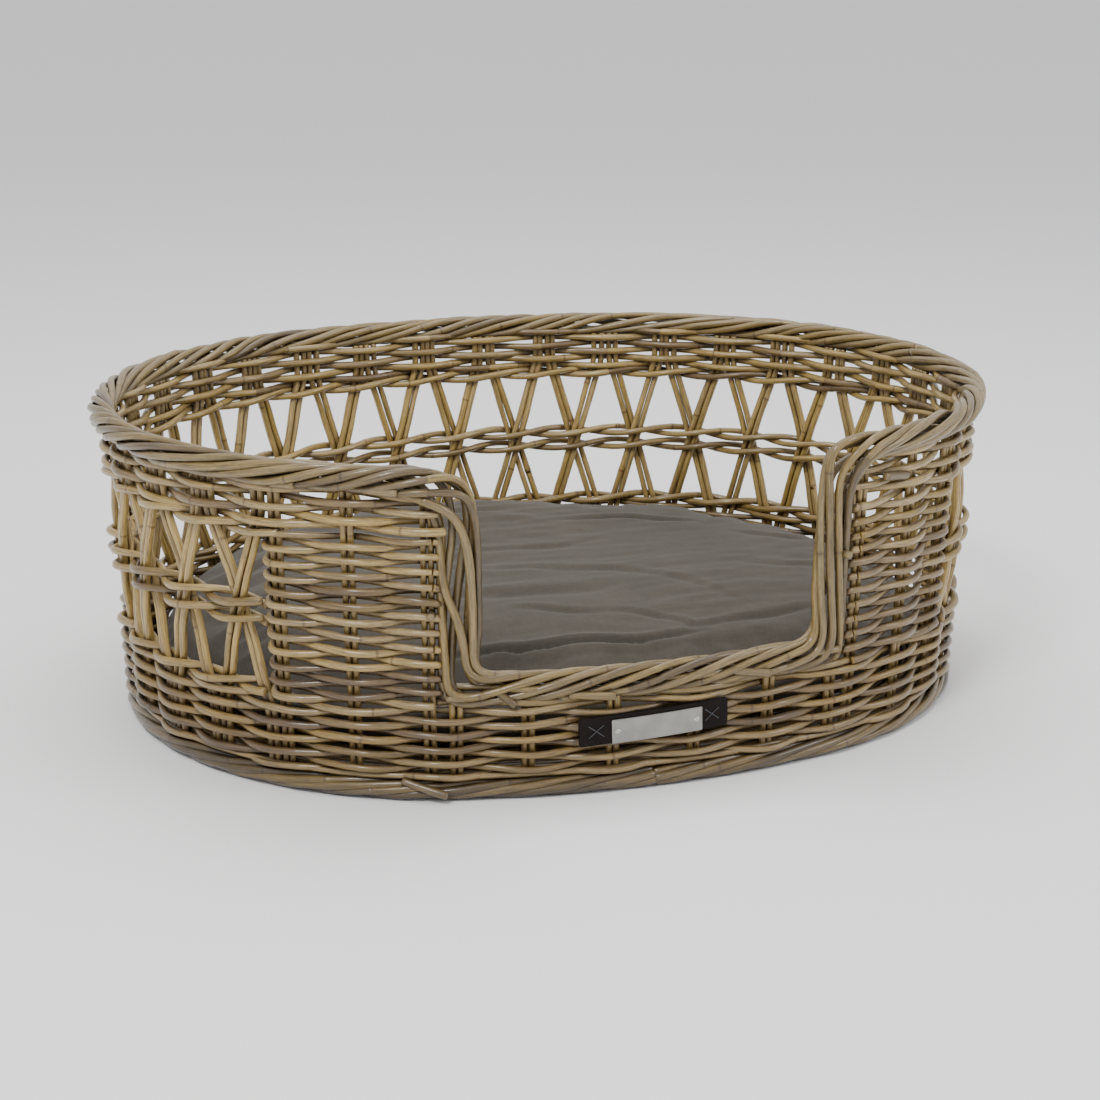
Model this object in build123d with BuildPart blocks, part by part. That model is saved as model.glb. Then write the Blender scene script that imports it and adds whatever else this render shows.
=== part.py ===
"""Wicker pet bed basket: an oval woven tray with a lattice wall, an entrance at the front and a loose cushion.

Millimetres. The origin is on the floor under the middle of the finished basket, +Z is up, +X runs along
the basket's length and the entrance looks along -Y. Everything is drawn round the centre of the oval and
moved forward a little at the end, because the rim overhangs at the back and is open at the front.
"""
from build123d import *
import os
from math import atan2, cos, degrees, radians, sin

# ---- driving dimensions -------------------------------------------------------------------------
half_length = 417          # centre line of the wall at floor level, along X
half_width = 329           # the same, along Y
end_radius = 316           # the two tight arcs of the oval
flare = 0.049              # how far the wall leans out for each millimetre of height

foot_top = 19              # the border that the basket stands on
foot_half = 11             # half the thickness of that border
foot_rounding = 4
base_top = 26              # upper face of the woven base
base_overhang = 8          # the woven base reaches this far outside the wall's centre line
stick_diameter = 7         # sticks under the base
stick_inset = 11.6         # their ends stop this far inside the wall's centre line
long_stick_spacing = 62
cross_stick_spacing = 58
lower_top = 88             # top of the solid weaving, where the lattice begins
mid_height = 166           # the lattice rods cross here
upper_low = 239            # the looser weaving under the rim starts here
rim_height = 298.5         # centre of the rolled rim
rim_radius = 13
rim_outset = 5.9           # the rim sits this far outside the wall's centre line

wall_half = 12             # half the thickness of the woven bands
panel_half = 10.5          # half the thickness of the two panels beside the entrance
border_inner = 10          # the entrance border, inside and outside the centre line
border_outer = 14

entrance_half = 155        # clear opening between the posts, halved
post_edge = 195            # outer edge of the posts, where the panels begin
sill_top = 122             # upper edge of the border under the entrance
sill_corner = 20
post_corner = 33

rod_diameter = 7.5         # lattice rods
stake_diameter = 6.5       # upright stakes in the front
stake_gap = 7.1            # between the centres of stakes that stand side by side
strand_diameter = 7        # weaving strands
clearance = 0.15           # round each rod where it runs inside the weaving
stake_shortening = 16      # the stakes under the entrance end this far below the sill's upper edge
head_gap = 1               # between the tall stakes and the rim
rod_low = 55               # the lattice rods are buried to these heights
rod_high = 262
rod_layer = 3.8            # the two families of rods lie this far either side of the centre line
rod_slope = 0.304          # sideways travel of a lattice rod for each millimetre of height
rod_bow = 0.8              # half the bow of the wall between a rod's ends
pair_gap = 8.7             # between the centres of the two rods of a pair
lattice_pitch = 72         # between crossings, round the outside of the wall
lattice_count = 25
panel_end = 357            # outer edge of a panel, from the front centre round the wall
sill_stations = (-186, -121, -42, 38, 115, 186)
post_station = 210
panel_stations = (281, 343)
panel_root = 150           # the panels' outer ends are cut square from this far off the end arc's centre
twine_outset = 12.8        # the strands that bind the lattice, inside and outside
twine_gap = 7              # half the spacing of the two rows at mid height

cushion_bottom = 26.4
cushion_seam = 64
cushion_outset = -20       # outermost line of the cushion, from the wall's centre line
cover_thickness = 1.5
cover_gap = 0.2            # between the cover and its filling
# heights of the cushion's outline, with how far each one stands inside the seam
cushion_upper = ((cushion_seam, 0), (80, 5), (92, 16), (102, 38), (113, 90), (120, 180))
cushion_lower = ((cushion_bottom, 42), (29, 27), (38, 11), (50, 2.5), (cushion_seam, 0))

tag_length = 142           # leather strap on the front
tag_height = 27
tag_thickness = 2
tag_rounding = 3
tag_place = -6             # its middle, along X and up
tag_centre = 65.5
tag_tilt = 2.5             # its right end is this many degrees higher
plate_length = 86
plate_height = 23
plate_thickness = 1
plate_rounding = 1.5
plate_shift = 2            # the plate's middle from the strap's, along it and across it
plate_drop = -2
brad_radius = 2.8
brad_height = 0.9
brad_taper = 35
brad_place = 37.5
stitch_place = 55
stitch_length = 17
stitch_width = 1.3
stitch_tilt = 36
stitch_thickness = 1
skin = 0.05                # fine gap between stacked trim
close_gap = 0.1            # between parts that lie on each other

zip_reach = 13.2           # degrees either side of the back centre
zip_half_height = 11
teeth_half_height = 2.6
tape_thickness = 0.8
teeth_thickness = 1.4
slider_gap = 0.35          # the slider runs this far off the teeth
slider_thickness = 2.2
pull_thickness = 1.15
slider_start = 12          # degrees from the back centre where the closed zip's slider rests
slider_half_height = 6
slider_degrees = 0.5       # half its length
pull_degrees = 2.2
pull_half_height = 2.5
reach = 600                # longer than anything that has to be cut through

# ---- the oval -----------------------------------------------------------------------------------
end_centre = half_length - end_radius
long_radius = (end_centre**2 + half_width**2 - end_radius**2) / (2 * (half_width - end_radius))
long_centre = long_radius - half_width
turn = degrees(atan2(end_centre, long_centre))    # from the front, to where a long arc meets an end arc
flare_degrees = degrees(atan2(flare, 1))
front_reach = flare * sill_top + border_outer
back_reach = flare * rim_height + rim_outset + rim_radius
move_forward = (back_reach - front_reach) / 2      # centres the overall box on the origin

# Each arc of the wall: centre, radius, and the directions it faces, in degrees from the front.
wall_arcs = (
    ((0, long_centre), long_radius, 0, turn),
    ((end_centre, 0), end_radius, turn, 180 - turn),
    ((0, -long_centre), long_radius, 180 - turn, 180 + turn),
    ((-end_centre, 0), end_radius, 180 + turn, 360 - turn),
    ((0, long_centre), long_radius, 360 - turn, 360),
)
# Stations are measured round the outside of the wall at mid height.
station_outset = flare * mid_height + wall_half
perimeter = sum(radians(last - first) * (radius + station_outset) for _, radius, first, last in wall_arcs)


def wall_angle(station):
    """The arc that a station lies on, and the direction the wall faces there, in degrees from the front."""
    left = station % perimeter
    for centre, radius, first, last in wall_arcs:
        length = radians(last - first) * (radius + station_outset)
        if left <= length:
            break
        left -= length
    return centre, radius, first + degrees(left / (radius + station_outset))


def wall_point(station, outset, height):
    """A point on the wall: round from the front centre, out from its centre line, and up."""
    centre, radius, angle = wall_angle(station)
    distance = radius + flare * height + outset
    x = centre[0] + distance * sin(radians(angle))
    y = centre[1] - distance * cos(radians(angle))
    return Vector(x, y, height)


def wall_normal(station):
    """The direction that the leaning wall faces at a station."""
    angle = radians(wall_angle(station)[2])
    return Vector(sin(angle), -cos(angle), -flare)


def oval_face(height, outset):
    """The oval at one height, its outline that far outside the wall's centre line at floor level."""
    with BuildSketch(Plane.XY.offset(height)) as face:
        with BuildLine():
            for centre, radius, first, last in wall_arcs:
                CenterArc(centre, radius + outset, first - 90, last - first)
        make_face()
    return face.sketch


def open_path(height, outset, start):
    """A line round the back of the oval, from the direction start to the same on the other side."""
    with BuildLine(Plane.XY.offset(height)) as path:
        for centre, radius, first, last in wall_arcs:
            begin = max(first, start)
            end = min(last, 360 - start)
            if end > begin:
                CenterArc(centre, radius + outset, begin - 90, end - begin)
    return path.line


def wall_ring(inner, outer, low, high):
    """A band of the leaning wall between two distances from its centre line."""
    extrude(oval_face(low, outer + flare * low), amount=high - low, taper=-flare_degrees)
    extrude(oval_face(low, inner + flare * low), amount=high - low, taper=-flare_degrees, mode=Mode.SUBTRACT)


def ring_tube(height, outset, start, radius):
    """A round strand along the open path."""
    path = open_path(height, outset, start)
    with BuildSketch(Plane(path @ 0, z_dir=path % 0)) as section:
        Circle(radius)
    sweep(section.sketch, path=path)


def keep_front(outline):
    """Keeps only the front of the wall that lies inside an outline drawn on the plane XZ."""
    extrude(outline, amount=reach, mode=Mode.INTERSECT)


def stake_places(stations, count):
    """Planes on the foot of each upright stake, count stakes side by side at every station."""
    places = []
    for station in stations:
        for number in range(count):
            beside = station + (number - (count - 1) / 2) * stake_gap
            foot = wall_point(beside, 0, base_top + 2 * clearance)
            head = wall_point(beside, 0, upper_low)
            places.append(Plane(foot, z_dir=head - foot))
    return places


def lattice_places(lean):
    """Planes on the foot of each lattice rod of the family that leans to one side."""
    places = []
    outset = rod_bow + lean * rod_layer
    for number in range(lattice_count):
        crossing = perimeter / 2 + (number - (lattice_count - 1) / 2) * lattice_pitch
        for side in (-0.5, 0.5):
            middle = crossing + side * pair_gap
            foot = wall_point(middle - lean * rod_slope * (mid_height - rod_low), outset, rod_low)
            head = wall_point(middle + lean * rod_slope * (rod_high - mid_height), outset, rod_high)
            places.append(Plane(foot, z_dir=head - foot))
    return places


def rods(places, diameter, length, mode=Mode.ADD):
    """Straight rods that stand on the given planes."""
    with Locations(*places):
        Cylinder(diameter / 2, length, align=(Align.CENTER, Align.CENTER, Align.MIN), mode=mode)


def write(part, name):
    """Saves a finished piece, moved to its place over the origin."""
    moved = Pos(0, -move_forward, 0) * part
    moved.label = name
    export_step(moved, f"parts/{name}.step")


os.makedirs("parts", exist_ok=True)

lattice_length = (rod_high - rod_low) * (1 + rod_slope**2 + flare**2) ** 0.5
stake_length = rim_height - rim_radius - base_top - head_gap
sill_stake_length = sill_top - base_top - stake_shortening
right_lean = lattice_places(1)
left_lean = lattice_places(-1)
sill_places = stake_places(sill_stations, 2)
post_places = stake_places((-post_station, post_station), 2)
panel_places = stake_places([side * station for side in (-1, 1) for station in panel_stations], 2)
channel = 2 * clearance

# ---- base ---------------------------------------------------------------------------------------
# The border that touches the floor.
with BuildPart() as foot_border:
    wall_ring(-foot_half, foot_half, 0, foot_top)
    fillet(foot_border.edges().group_by(Axis.Z)[-1], foot_rounding)
write(foot_border.part, "foot_border")

# The woven floor of the basket lies on the foot border.
with BuildPart() as base_weave:
    extrude(oval_face(foot_top, base_overhang), amount=base_top - foot_top)
write(base_weave.part, "base_weave")

# Sticks under the woven floor: the long ones just below it, the cross ones below those.
long_stick_height = foot_top - stick_diameter / 2 - close_gap
cross_stick_height = long_stick_height - stick_diameter - close_gap

with BuildPart() as base_sticks_long:
    for step in range(-4, 5):
        with Locations((0, long_stick_spacing * step, long_stick_height)):
            Cylinder(stick_diameter / 2, 2 * reach, rotation=(0, 90, 0))
    extrude(oval_face(0, -stick_inset), amount=foot_top, mode=Mode.INTERSECT)
write(base_sticks_long.part, "base_sticks_long")

with BuildPart() as base_sticks_cross:
    for step in range(-6, 7):
        with Locations((cross_stick_spacing * step, 0, cross_stick_height)):
            Cylinder(stick_diameter / 2, 2 * reach, rotation=(90, 0, 0))
    extrude(oval_face(0, -stick_inset), amount=foot_top, mode=Mode.INTERSECT)
write(base_sticks_cross.part, "base_sticks_cross")

# ---- stakes and lattice rods --------------------------------------------------------------------
with BuildPart() as lattice_rods_outer:
    rods(right_lean, rod_diameter, lattice_length)
write(lattice_rods_outer.part, "lattice_rods_outer")

with BuildPart() as lattice_rods_inner:
    rods(left_lean, rod_diameter, lattice_length)
write(lattice_rods_inner.part, "lattice_rods_inner")

with BuildPart() as sill_stakes:
    rods(sill_places, stake_diameter, sill_stake_length)
write(sill_stakes.part, "sill_stakes")

with BuildPart() as post_stakes:
    rods(post_places, stake_diameter, stake_length)
write(post_stakes.part, "post_stakes")

with BuildPart() as panel_stakes:
    rods(panel_places, stake_diameter, stake_length)
write(panel_stakes.part, "panel_stakes")

# ---- woven walls --------------------------------------------------------------------------------
# Solid weaving all the way round the foot of the wall, with a channel for every rod and stake.
with BuildPart() as lower_weave:
    wall_ring(-wall_half, wall_half, base_top, lower_top)
    rods(right_lean + left_lean, rod_diameter + channel, lattice_length, Mode.SUBTRACT)
    rods(sill_places + post_places + panel_places, stake_diameter + channel, stake_length, Mode.SUBTRACT)
write(lower_weave.part, "lower_weave")

# The two panels between the entrance posts and the lattice.
panel_angle = radians(wall_angle(panel_end)[2])
panel_direction = Vector(sin(panel_angle), -cos(panel_angle))
panel_top = rim_height - rim_radius

for side, name in ((-1, "panel_weave_left"), (1, "panel_weave_right")):
    with BuildPart() as panel_weave:
        wall_ring(-panel_half, panel_half, lower_top, panel_top)
        near = Vector(end_centre, 0) + panel_direction * panel_root
        far = Vector(end_centre, 0) + panel_direction * reach
        with BuildSketch() as footprint:
            corners = ((post_edge, near.Y), (post_edge, -reach), (far.X, far.Y), (near.X, near.Y))
            Polygon(*[(side * x, y) for x, y in corners], align=None)
        extrude(footprint.sketch, amount=reach, mode=Mode.INTERSECT)
        rods(post_places + panel_places, stake_diameter + channel, stake_length, Mode.SUBTRACT)
    write(panel_weave.part, name)

# The looser weaving under the rim, from one panel round the back to the other.
panel_limit = wall_angle(panel_end + 1)[2]

with BuildPart() as upper_weave:
    wall_ring(-wall_half, wall_half, upper_low, panel_top)
    with BuildSketch() as front_sector:
        far = Vector(end_centre, 0) + Vector(sin(radians(panel_limit)), -cos(radians(panel_limit))) * reach
        corners = ((end_centre, 0), (far.X, far.Y), (0, -2 * reach), (-far.X, far.Y), (-end_centre, 0))
        Polygon(*corners, align=None)
    extrude(front_sector.sketch, amount=reach, mode=Mode.SUBTRACT)
    rods(right_lean + left_lean, rod_diameter + channel, lattice_length, Mode.SUBTRACT)
write(upper_weave.part, "upper_weave")

# Pairs of strands that bind the lattice: one pair at its foot, two rows where the rods cross.
twine_rows = (
    ("lattice_foot_twine", lower_top + strand_diameter / 2 + 2),
    ("mid_twine_lower", mid_height - twine_gap),
    ("mid_twine_upper", mid_height + twine_gap),
)
for name, height in twine_rows:
    with BuildPart() as twine:
        for outset in (-twine_outset, twine_outset):
            ring_tube(height, flare * height + outset, panel_limit, strand_diameter / 2)
    write(twine.part, name)

# ---- borders ------------------------------------------------------------------------------------
# The rolled rim, open over the entrance.
with BuildPart() as rim_border:
    ring_tube(rim_height, flare * rim_height + rim_outset, turn - 3, rim_radius)
    with BuildSketch(Plane.XZ) as gap:
        Rectangle(2 * post_edge + 2 * clearance, 2 * reach)
    extrude(gap.sketch, amount=reach, mode=Mode.SUBTRACT)
write(rim_border.part, "rim_border")

# The border round the entrance: a sill, two posts, and rounded shoulders that lead into the rim.
border_top = rim_height + rim_radius

with BuildPart() as entrance_border:
    wall_ring(-border_inner, border_outer, lower_top, border_top)
    with BuildSketch(Plane.XZ) as border_outline:
        with Locations((0, lower_top)):
            Rectangle(2 * post_edge, border_top - lower_top, align=(Align.CENTER, Align.MIN))
        with Locations((0, sill_top)):
            Rectangle(2 * entrance_half, border_top, align=(Align.CENTER, Align.MIN), mode=Mode.SUBTRACT)
        low_corners = border_outline.vertices().filter_by_position(Axis.Z, sill_top - 1, sill_top + 1)
        fillet(low_corners, sill_corner)
        high_corners = border_outline.vertices().filter_by_position(Axis.Z, border_top - 1, border_top + 1)
        fillet(high_corners.filter_by_position(Axis.X, -entrance_half - 1, entrance_half + 1), post_corner)
    keep_front(border_outline.sketch)
    rods(sill_places, stake_diameter + channel, sill_stake_length + head_gap, Mode.SUBTRACT)
write(entrance_border.part, "entrance_border")

# ---- leather tag --------------------------------------------------------------------------------
tag_inner = wall_half + skin
tag_outer = tag_inner + tag_thickness
trim_inner = tag_outer + skin
tag_low = tag_centre - tag_height
tag_high = tag_centre + tag_height


def tag_spot(along, across):
    """A place on the tilted tag, from its middle: along X, and up."""
    tilt = radians(tag_tilt)
    x = tag_place + along * cos(tilt) - across * sin(tilt)
    return (x, tag_centre + along * sin(tilt) + across * cos(tilt))


with BuildPart() as tag_strap:
    wall_ring(tag_inner, tag_outer, tag_low, tag_high)
    with BuildSketch(Plane.XZ) as strap_outline:
        with Locations(Location(tag_spot(0, 0), tag_tilt)):
            RectangleRounded(tag_length, tag_height, tag_rounding)
    keep_front(strap_outline.sketch)
write(tag_strap.part, "tag_strap")

with BuildPart() as name_plate:
    wall_ring(trim_inner, trim_inner + plate_thickness, tag_low, tag_high)
    with BuildSketch(Plane.XZ) as plate_outline:
        with Locations(Location(tag_spot(plate_shift, plate_drop), tag_tilt)):
            RectangleRounded(plate_length, plate_height, plate_rounding)
    keep_front(plate_outline.sketch)
write(name_plate.part, "name_plate")

# Split brads that hold the plate: a domed head each.
with BuildPart() as plate_brads:
    for side in (-1, 1):
        brad_x, brad_z = tag_spot(plate_shift + side * brad_place, plate_drop)
        seat = wall_point(brad_x, trim_inner + plate_thickness + close_gap, brad_z)
        with BuildSketch(Plane(seat, z_dir=wall_normal(brad_x))) as head:
            Circle(brad_radius)
        extrude(head.sketch, amount=brad_height, taper=brad_taper)
write(plate_brads.part, "plate_brads")

# A cross of thread at each end of the strap.
with BuildPart() as tag_stitches:
    wall_ring(trim_inner, trim_inner + stitch_thickness, tag_low, tag_high)
    with BuildSketch(Plane.XZ) as crosses:
        for side in (-1, 1):
            for tilt in (-stitch_tilt, stitch_tilt):
                with Locations(Location(tag_spot(side * stitch_place, 0), tag_tilt + tilt)):
                    SlotOverall(stitch_length, stitch_width)
    keep_front(crosses.sketch)
write(tag_stitches.part, "tag_stitches")

# ---- cushion ------------------------------------------------------------------------------------


def cushion_shape(outline, shrink, mode=Mode.ADD):
    """Ovals stacked to a rounded half cushion; shrink draws it in all over except at the seam plane."""
    sections = []
    for height, inward in outline:
        inset = shrink if height > cushion_seam else -shrink if height < cushion_seam else 0
        sections.append(oval_face(height - inset, cushion_outset - inward - shrink))
    loft(sections, ruled=True, mode=mode)


with BuildPart() as cover_top:
    cushion_shape(cushion_upper, 0)
    cushion_shape(cushion_upper, cover_thickness, Mode.SUBTRACT)
write(cover_top.part, "cover_top")

with BuildPart() as cover_bottom:
    cushion_shape(cushion_lower, 0)
    cushion_shape(cushion_lower, cover_thickness, Mode.SUBTRACT)
write(cover_bottom.part, "cover_bottom")

with BuildPart() as pad_filling:
    cushion_shape(cushion_upper, cover_thickness + cover_gap)
    cushion_shape(cushion_lower, cover_thickness + cover_gap)
write(pad_filling.part, "pad_filling")

# ---- zip along the back of the cushion -----------------------------------------------------------


def back_strip(inner, outer, first, last, half_height):
    """A strip that follows the back arc, between two outsets and two angles from the back centre."""
    with BuildSketch(Plane.XY.offset(cushion_seam - half_height)) as strip:
        with BuildLine():
            outer_arc = CenterArc((0, -long_centre), long_radius + outer, 90 + first, last - first)
            inner_arc = CenterArc((0, -long_centre), long_radius + inner, 90 + first, last - first)
            Line(outer_arc @ 0, inner_arc @ 0)
            Line(outer_arc @ 1, inner_arc @ 1)
        make_face()
    extrude(strip.sketch, amount=2 * half_height)


tape_inner = cushion_outset + close_gap
tape_outer = tape_inner + tape_thickness
teeth_outer = tape_outer + skin + teeth_thickness
slider_inner = teeth_outer + slider_gap
slider_outer = slider_inner + slider_thickness
pull_outer = slider_outer + skin + pull_thickness

with BuildPart() as zip_tape:
    back_strip(tape_inner, tape_outer, -zip_reach, zip_reach, zip_half_height)
write(zip_tape.part, "zip_tape")

with BuildPart() as zip_teeth:
    back_strip(tape_outer + skin, teeth_outer, -zip_reach, zip_reach, teeth_half_height)
write(zip_teeth.part, "zip_teeth")

with BuildPart() as zip_slider:
    back_strip(slider_inner, slider_outer, slider_start - slider_degrees, slider_start + slider_degrees,
               slider_half_height)
write(zip_slider.part, "zip_slider")

with BuildPart() as zip_pull:
    back_strip(slider_outer + skin, pull_outer, slider_start - pull_degrees, slider_start, pull_half_height)
write(zip_pull.part, "zip_pull")
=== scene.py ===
"""Looks of the wicker pet bed basket: every strand of the weaving, the leather tag and the canvas cushion.

Metres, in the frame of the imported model: the origin is on the floor, +Z up, the entrance looks along -Y.
"Station" is the distance round the outside of the wall from the front centre, towards +X.
"Outset" is the distance out from the wall's centre line, and height is above the floor.
"""
import bmesh
import bpy
import numpy as np
from math import atan2, cos, pi, radians, sin, sqrt
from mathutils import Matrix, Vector


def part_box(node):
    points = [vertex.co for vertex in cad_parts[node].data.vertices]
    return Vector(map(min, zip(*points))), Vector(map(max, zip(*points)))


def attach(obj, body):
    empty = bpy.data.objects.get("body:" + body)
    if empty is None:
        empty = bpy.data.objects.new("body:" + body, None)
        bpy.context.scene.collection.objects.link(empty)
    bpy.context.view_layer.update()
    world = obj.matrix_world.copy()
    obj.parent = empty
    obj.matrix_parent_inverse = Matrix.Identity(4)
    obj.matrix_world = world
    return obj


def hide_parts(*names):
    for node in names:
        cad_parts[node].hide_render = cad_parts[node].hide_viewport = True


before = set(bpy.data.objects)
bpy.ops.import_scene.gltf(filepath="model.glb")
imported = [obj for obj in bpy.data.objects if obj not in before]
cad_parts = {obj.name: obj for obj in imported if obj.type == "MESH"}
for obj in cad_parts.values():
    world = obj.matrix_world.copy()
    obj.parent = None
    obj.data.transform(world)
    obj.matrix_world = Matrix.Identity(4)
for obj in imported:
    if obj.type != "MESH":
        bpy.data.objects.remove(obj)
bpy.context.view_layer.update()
mm = 0.001

# ---- the oval wall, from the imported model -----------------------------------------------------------
end_radius = 316 * mm
flare = 0.049
base_overhang = 8 * mm
foot_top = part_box("foot_border")[1].z
base_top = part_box("base_weave")[1].z
lower_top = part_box("lower_weave")[1].z
rim_low, rim_high = (corner.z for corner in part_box("rim_border"))
rim_height = (rim_low + rim_high) / 2
rim_radius = (rim_high - rim_low) / 2
rim_outset = 5.9 * mm
upper_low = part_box("upper_weave")[0].z
mid_height = 166 * mm
wall_half = 12 * mm
oval_low, oval_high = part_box("base_weave")
half_length = (oval_high.x - oval_low.x) / 2 - base_overhang
half_width = (oval_high.y - oval_low.y) / 2 - base_overhang
oval_y = (oval_high.y + oval_low.y) / 2        # the oval's middle: the rim overhangs at the back only

end_centre = half_length - end_radius
long_radius = (end_centre**2 + half_width**2 - end_radius**2) / (2 * (half_width - end_radius))
long_centre = long_radius - half_width
turn = atan2(end_centre, long_centre)
reference = flare * mid_height + wall_half
long_run = turn * (long_radius + reference)
end_run = (pi - 2 * turn) * (end_radius + reference)
station_marks = np.cumsum([0, long_run, end_run, 2 * long_run, end_run, long_run])
angle_marks = np.array([0, turn, pi - turn, pi + turn, 2 * pi - turn, 2 * pi])
perimeter = station_marks[-1]
back = perimeter / 2

# ---- strands ----------------------------------------------------------------------------------------
weaver_radius = 3.65 * mm
weaver_pitch = 6.9 * mm
upper_radius = 3.9 * mm
upper_pitch = 7.9 * mm
rod_radius = 3.7 * mm
stake_radius = 3.1 * mm
strand_step = 3.2 * mm
path_step = 1.5 * mm
strand_sides = 8
lattice_pitch = 72 * mm
lattice_count = 25
leg_reach = 22.5 * mm          # a lattice leg's distance from its crossing, at the edges of the bands
rod_spacing = 2 * rod_radius + 0.1 * mm
stake_spacing = 2 * stake_radius + 0.5 * mm

# Groups of stakes beside the entrance: station and half width, on the right and on the left.
post_group = (198 * mm, 15 * mm)
middle_group = (281 * mm, 4 * mm)
edge_group = (358.7 * mm, 13 * mm)
right_groups = ((38 * mm, 4 * mm), (115 * mm, 4 * mm), post_group, middle_group, edge_group)
left_groups = ((42 * mm, 4 * mm), (121 * mm, 4 * mm), post_group, middle_group, edge_group)
post_stakes = 210 * mm
edge_stakes = 350.5 * mm
lattice_half = 12 * mm
lattice_groups = [back - (step + 0.5) * lattice_pitch for step in range(lattice_count // 2)]
upright = np.array([0.0, 0.0, 1.0])
seed = np.random.default_rng(11)


def smooth(t):
    """A soft step from 0 to 1."""
    t = np.clip(t, 0, 1)
    return t * t * (3 - 2 * t)


def wobble(length, amount, scale, source=seed):
    """A smooth random curve along a length: a few sines with their own phases."""
    total = np.zeros_like(length)
    for octave in (1, 1.7, 2.9):
        total += np.sin(length / (scale / octave) * 2 * pi + source.uniform(0, 2 * pi)) / octave
    return amount * total / 1.9


def away_from_ends(run):
    """0 at both ends of a length and 1 along most of it, so that closed bundles meet without a kink."""
    return smooth(run / 0.25) * smooth((run[-1] - run) / 0.25)


def facing(station):
    """Unit vectors that point out of the wall, level."""
    angle = np.interp(np.mod(station, perimeter), station_marks, angle_marks)
    return np.stack([np.sin(angle), -np.cos(angle), np.zeros_like(angle)], axis=-1)


def wall(station, outset, height):
    """Points of the wall from their stations, outsets and heights."""
    station, outset, height = np.broadcast_arrays(*(np.asarray(v, float) for v in (station, outset, height)))
    angle = np.interp(np.mod(station, perimeter), station_marks, angle_marks)
    at_end = (np.abs(np.sin(angle)) > sin(turn))
    centre_x = np.where(at_end, end_centre * np.sign(np.sin(angle)), 0)
    centre_y = np.where(at_end, 0, long_centre * np.sign(np.cos(angle)))
    distance = np.where(at_end, end_radius, long_radius) + flare * height + outset
    x = centre_x + distance * np.sin(angle)
    y = oval_y + centre_y - distance * np.cos(angle)
    return np.stack([x, y, height], axis=-1)


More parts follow.
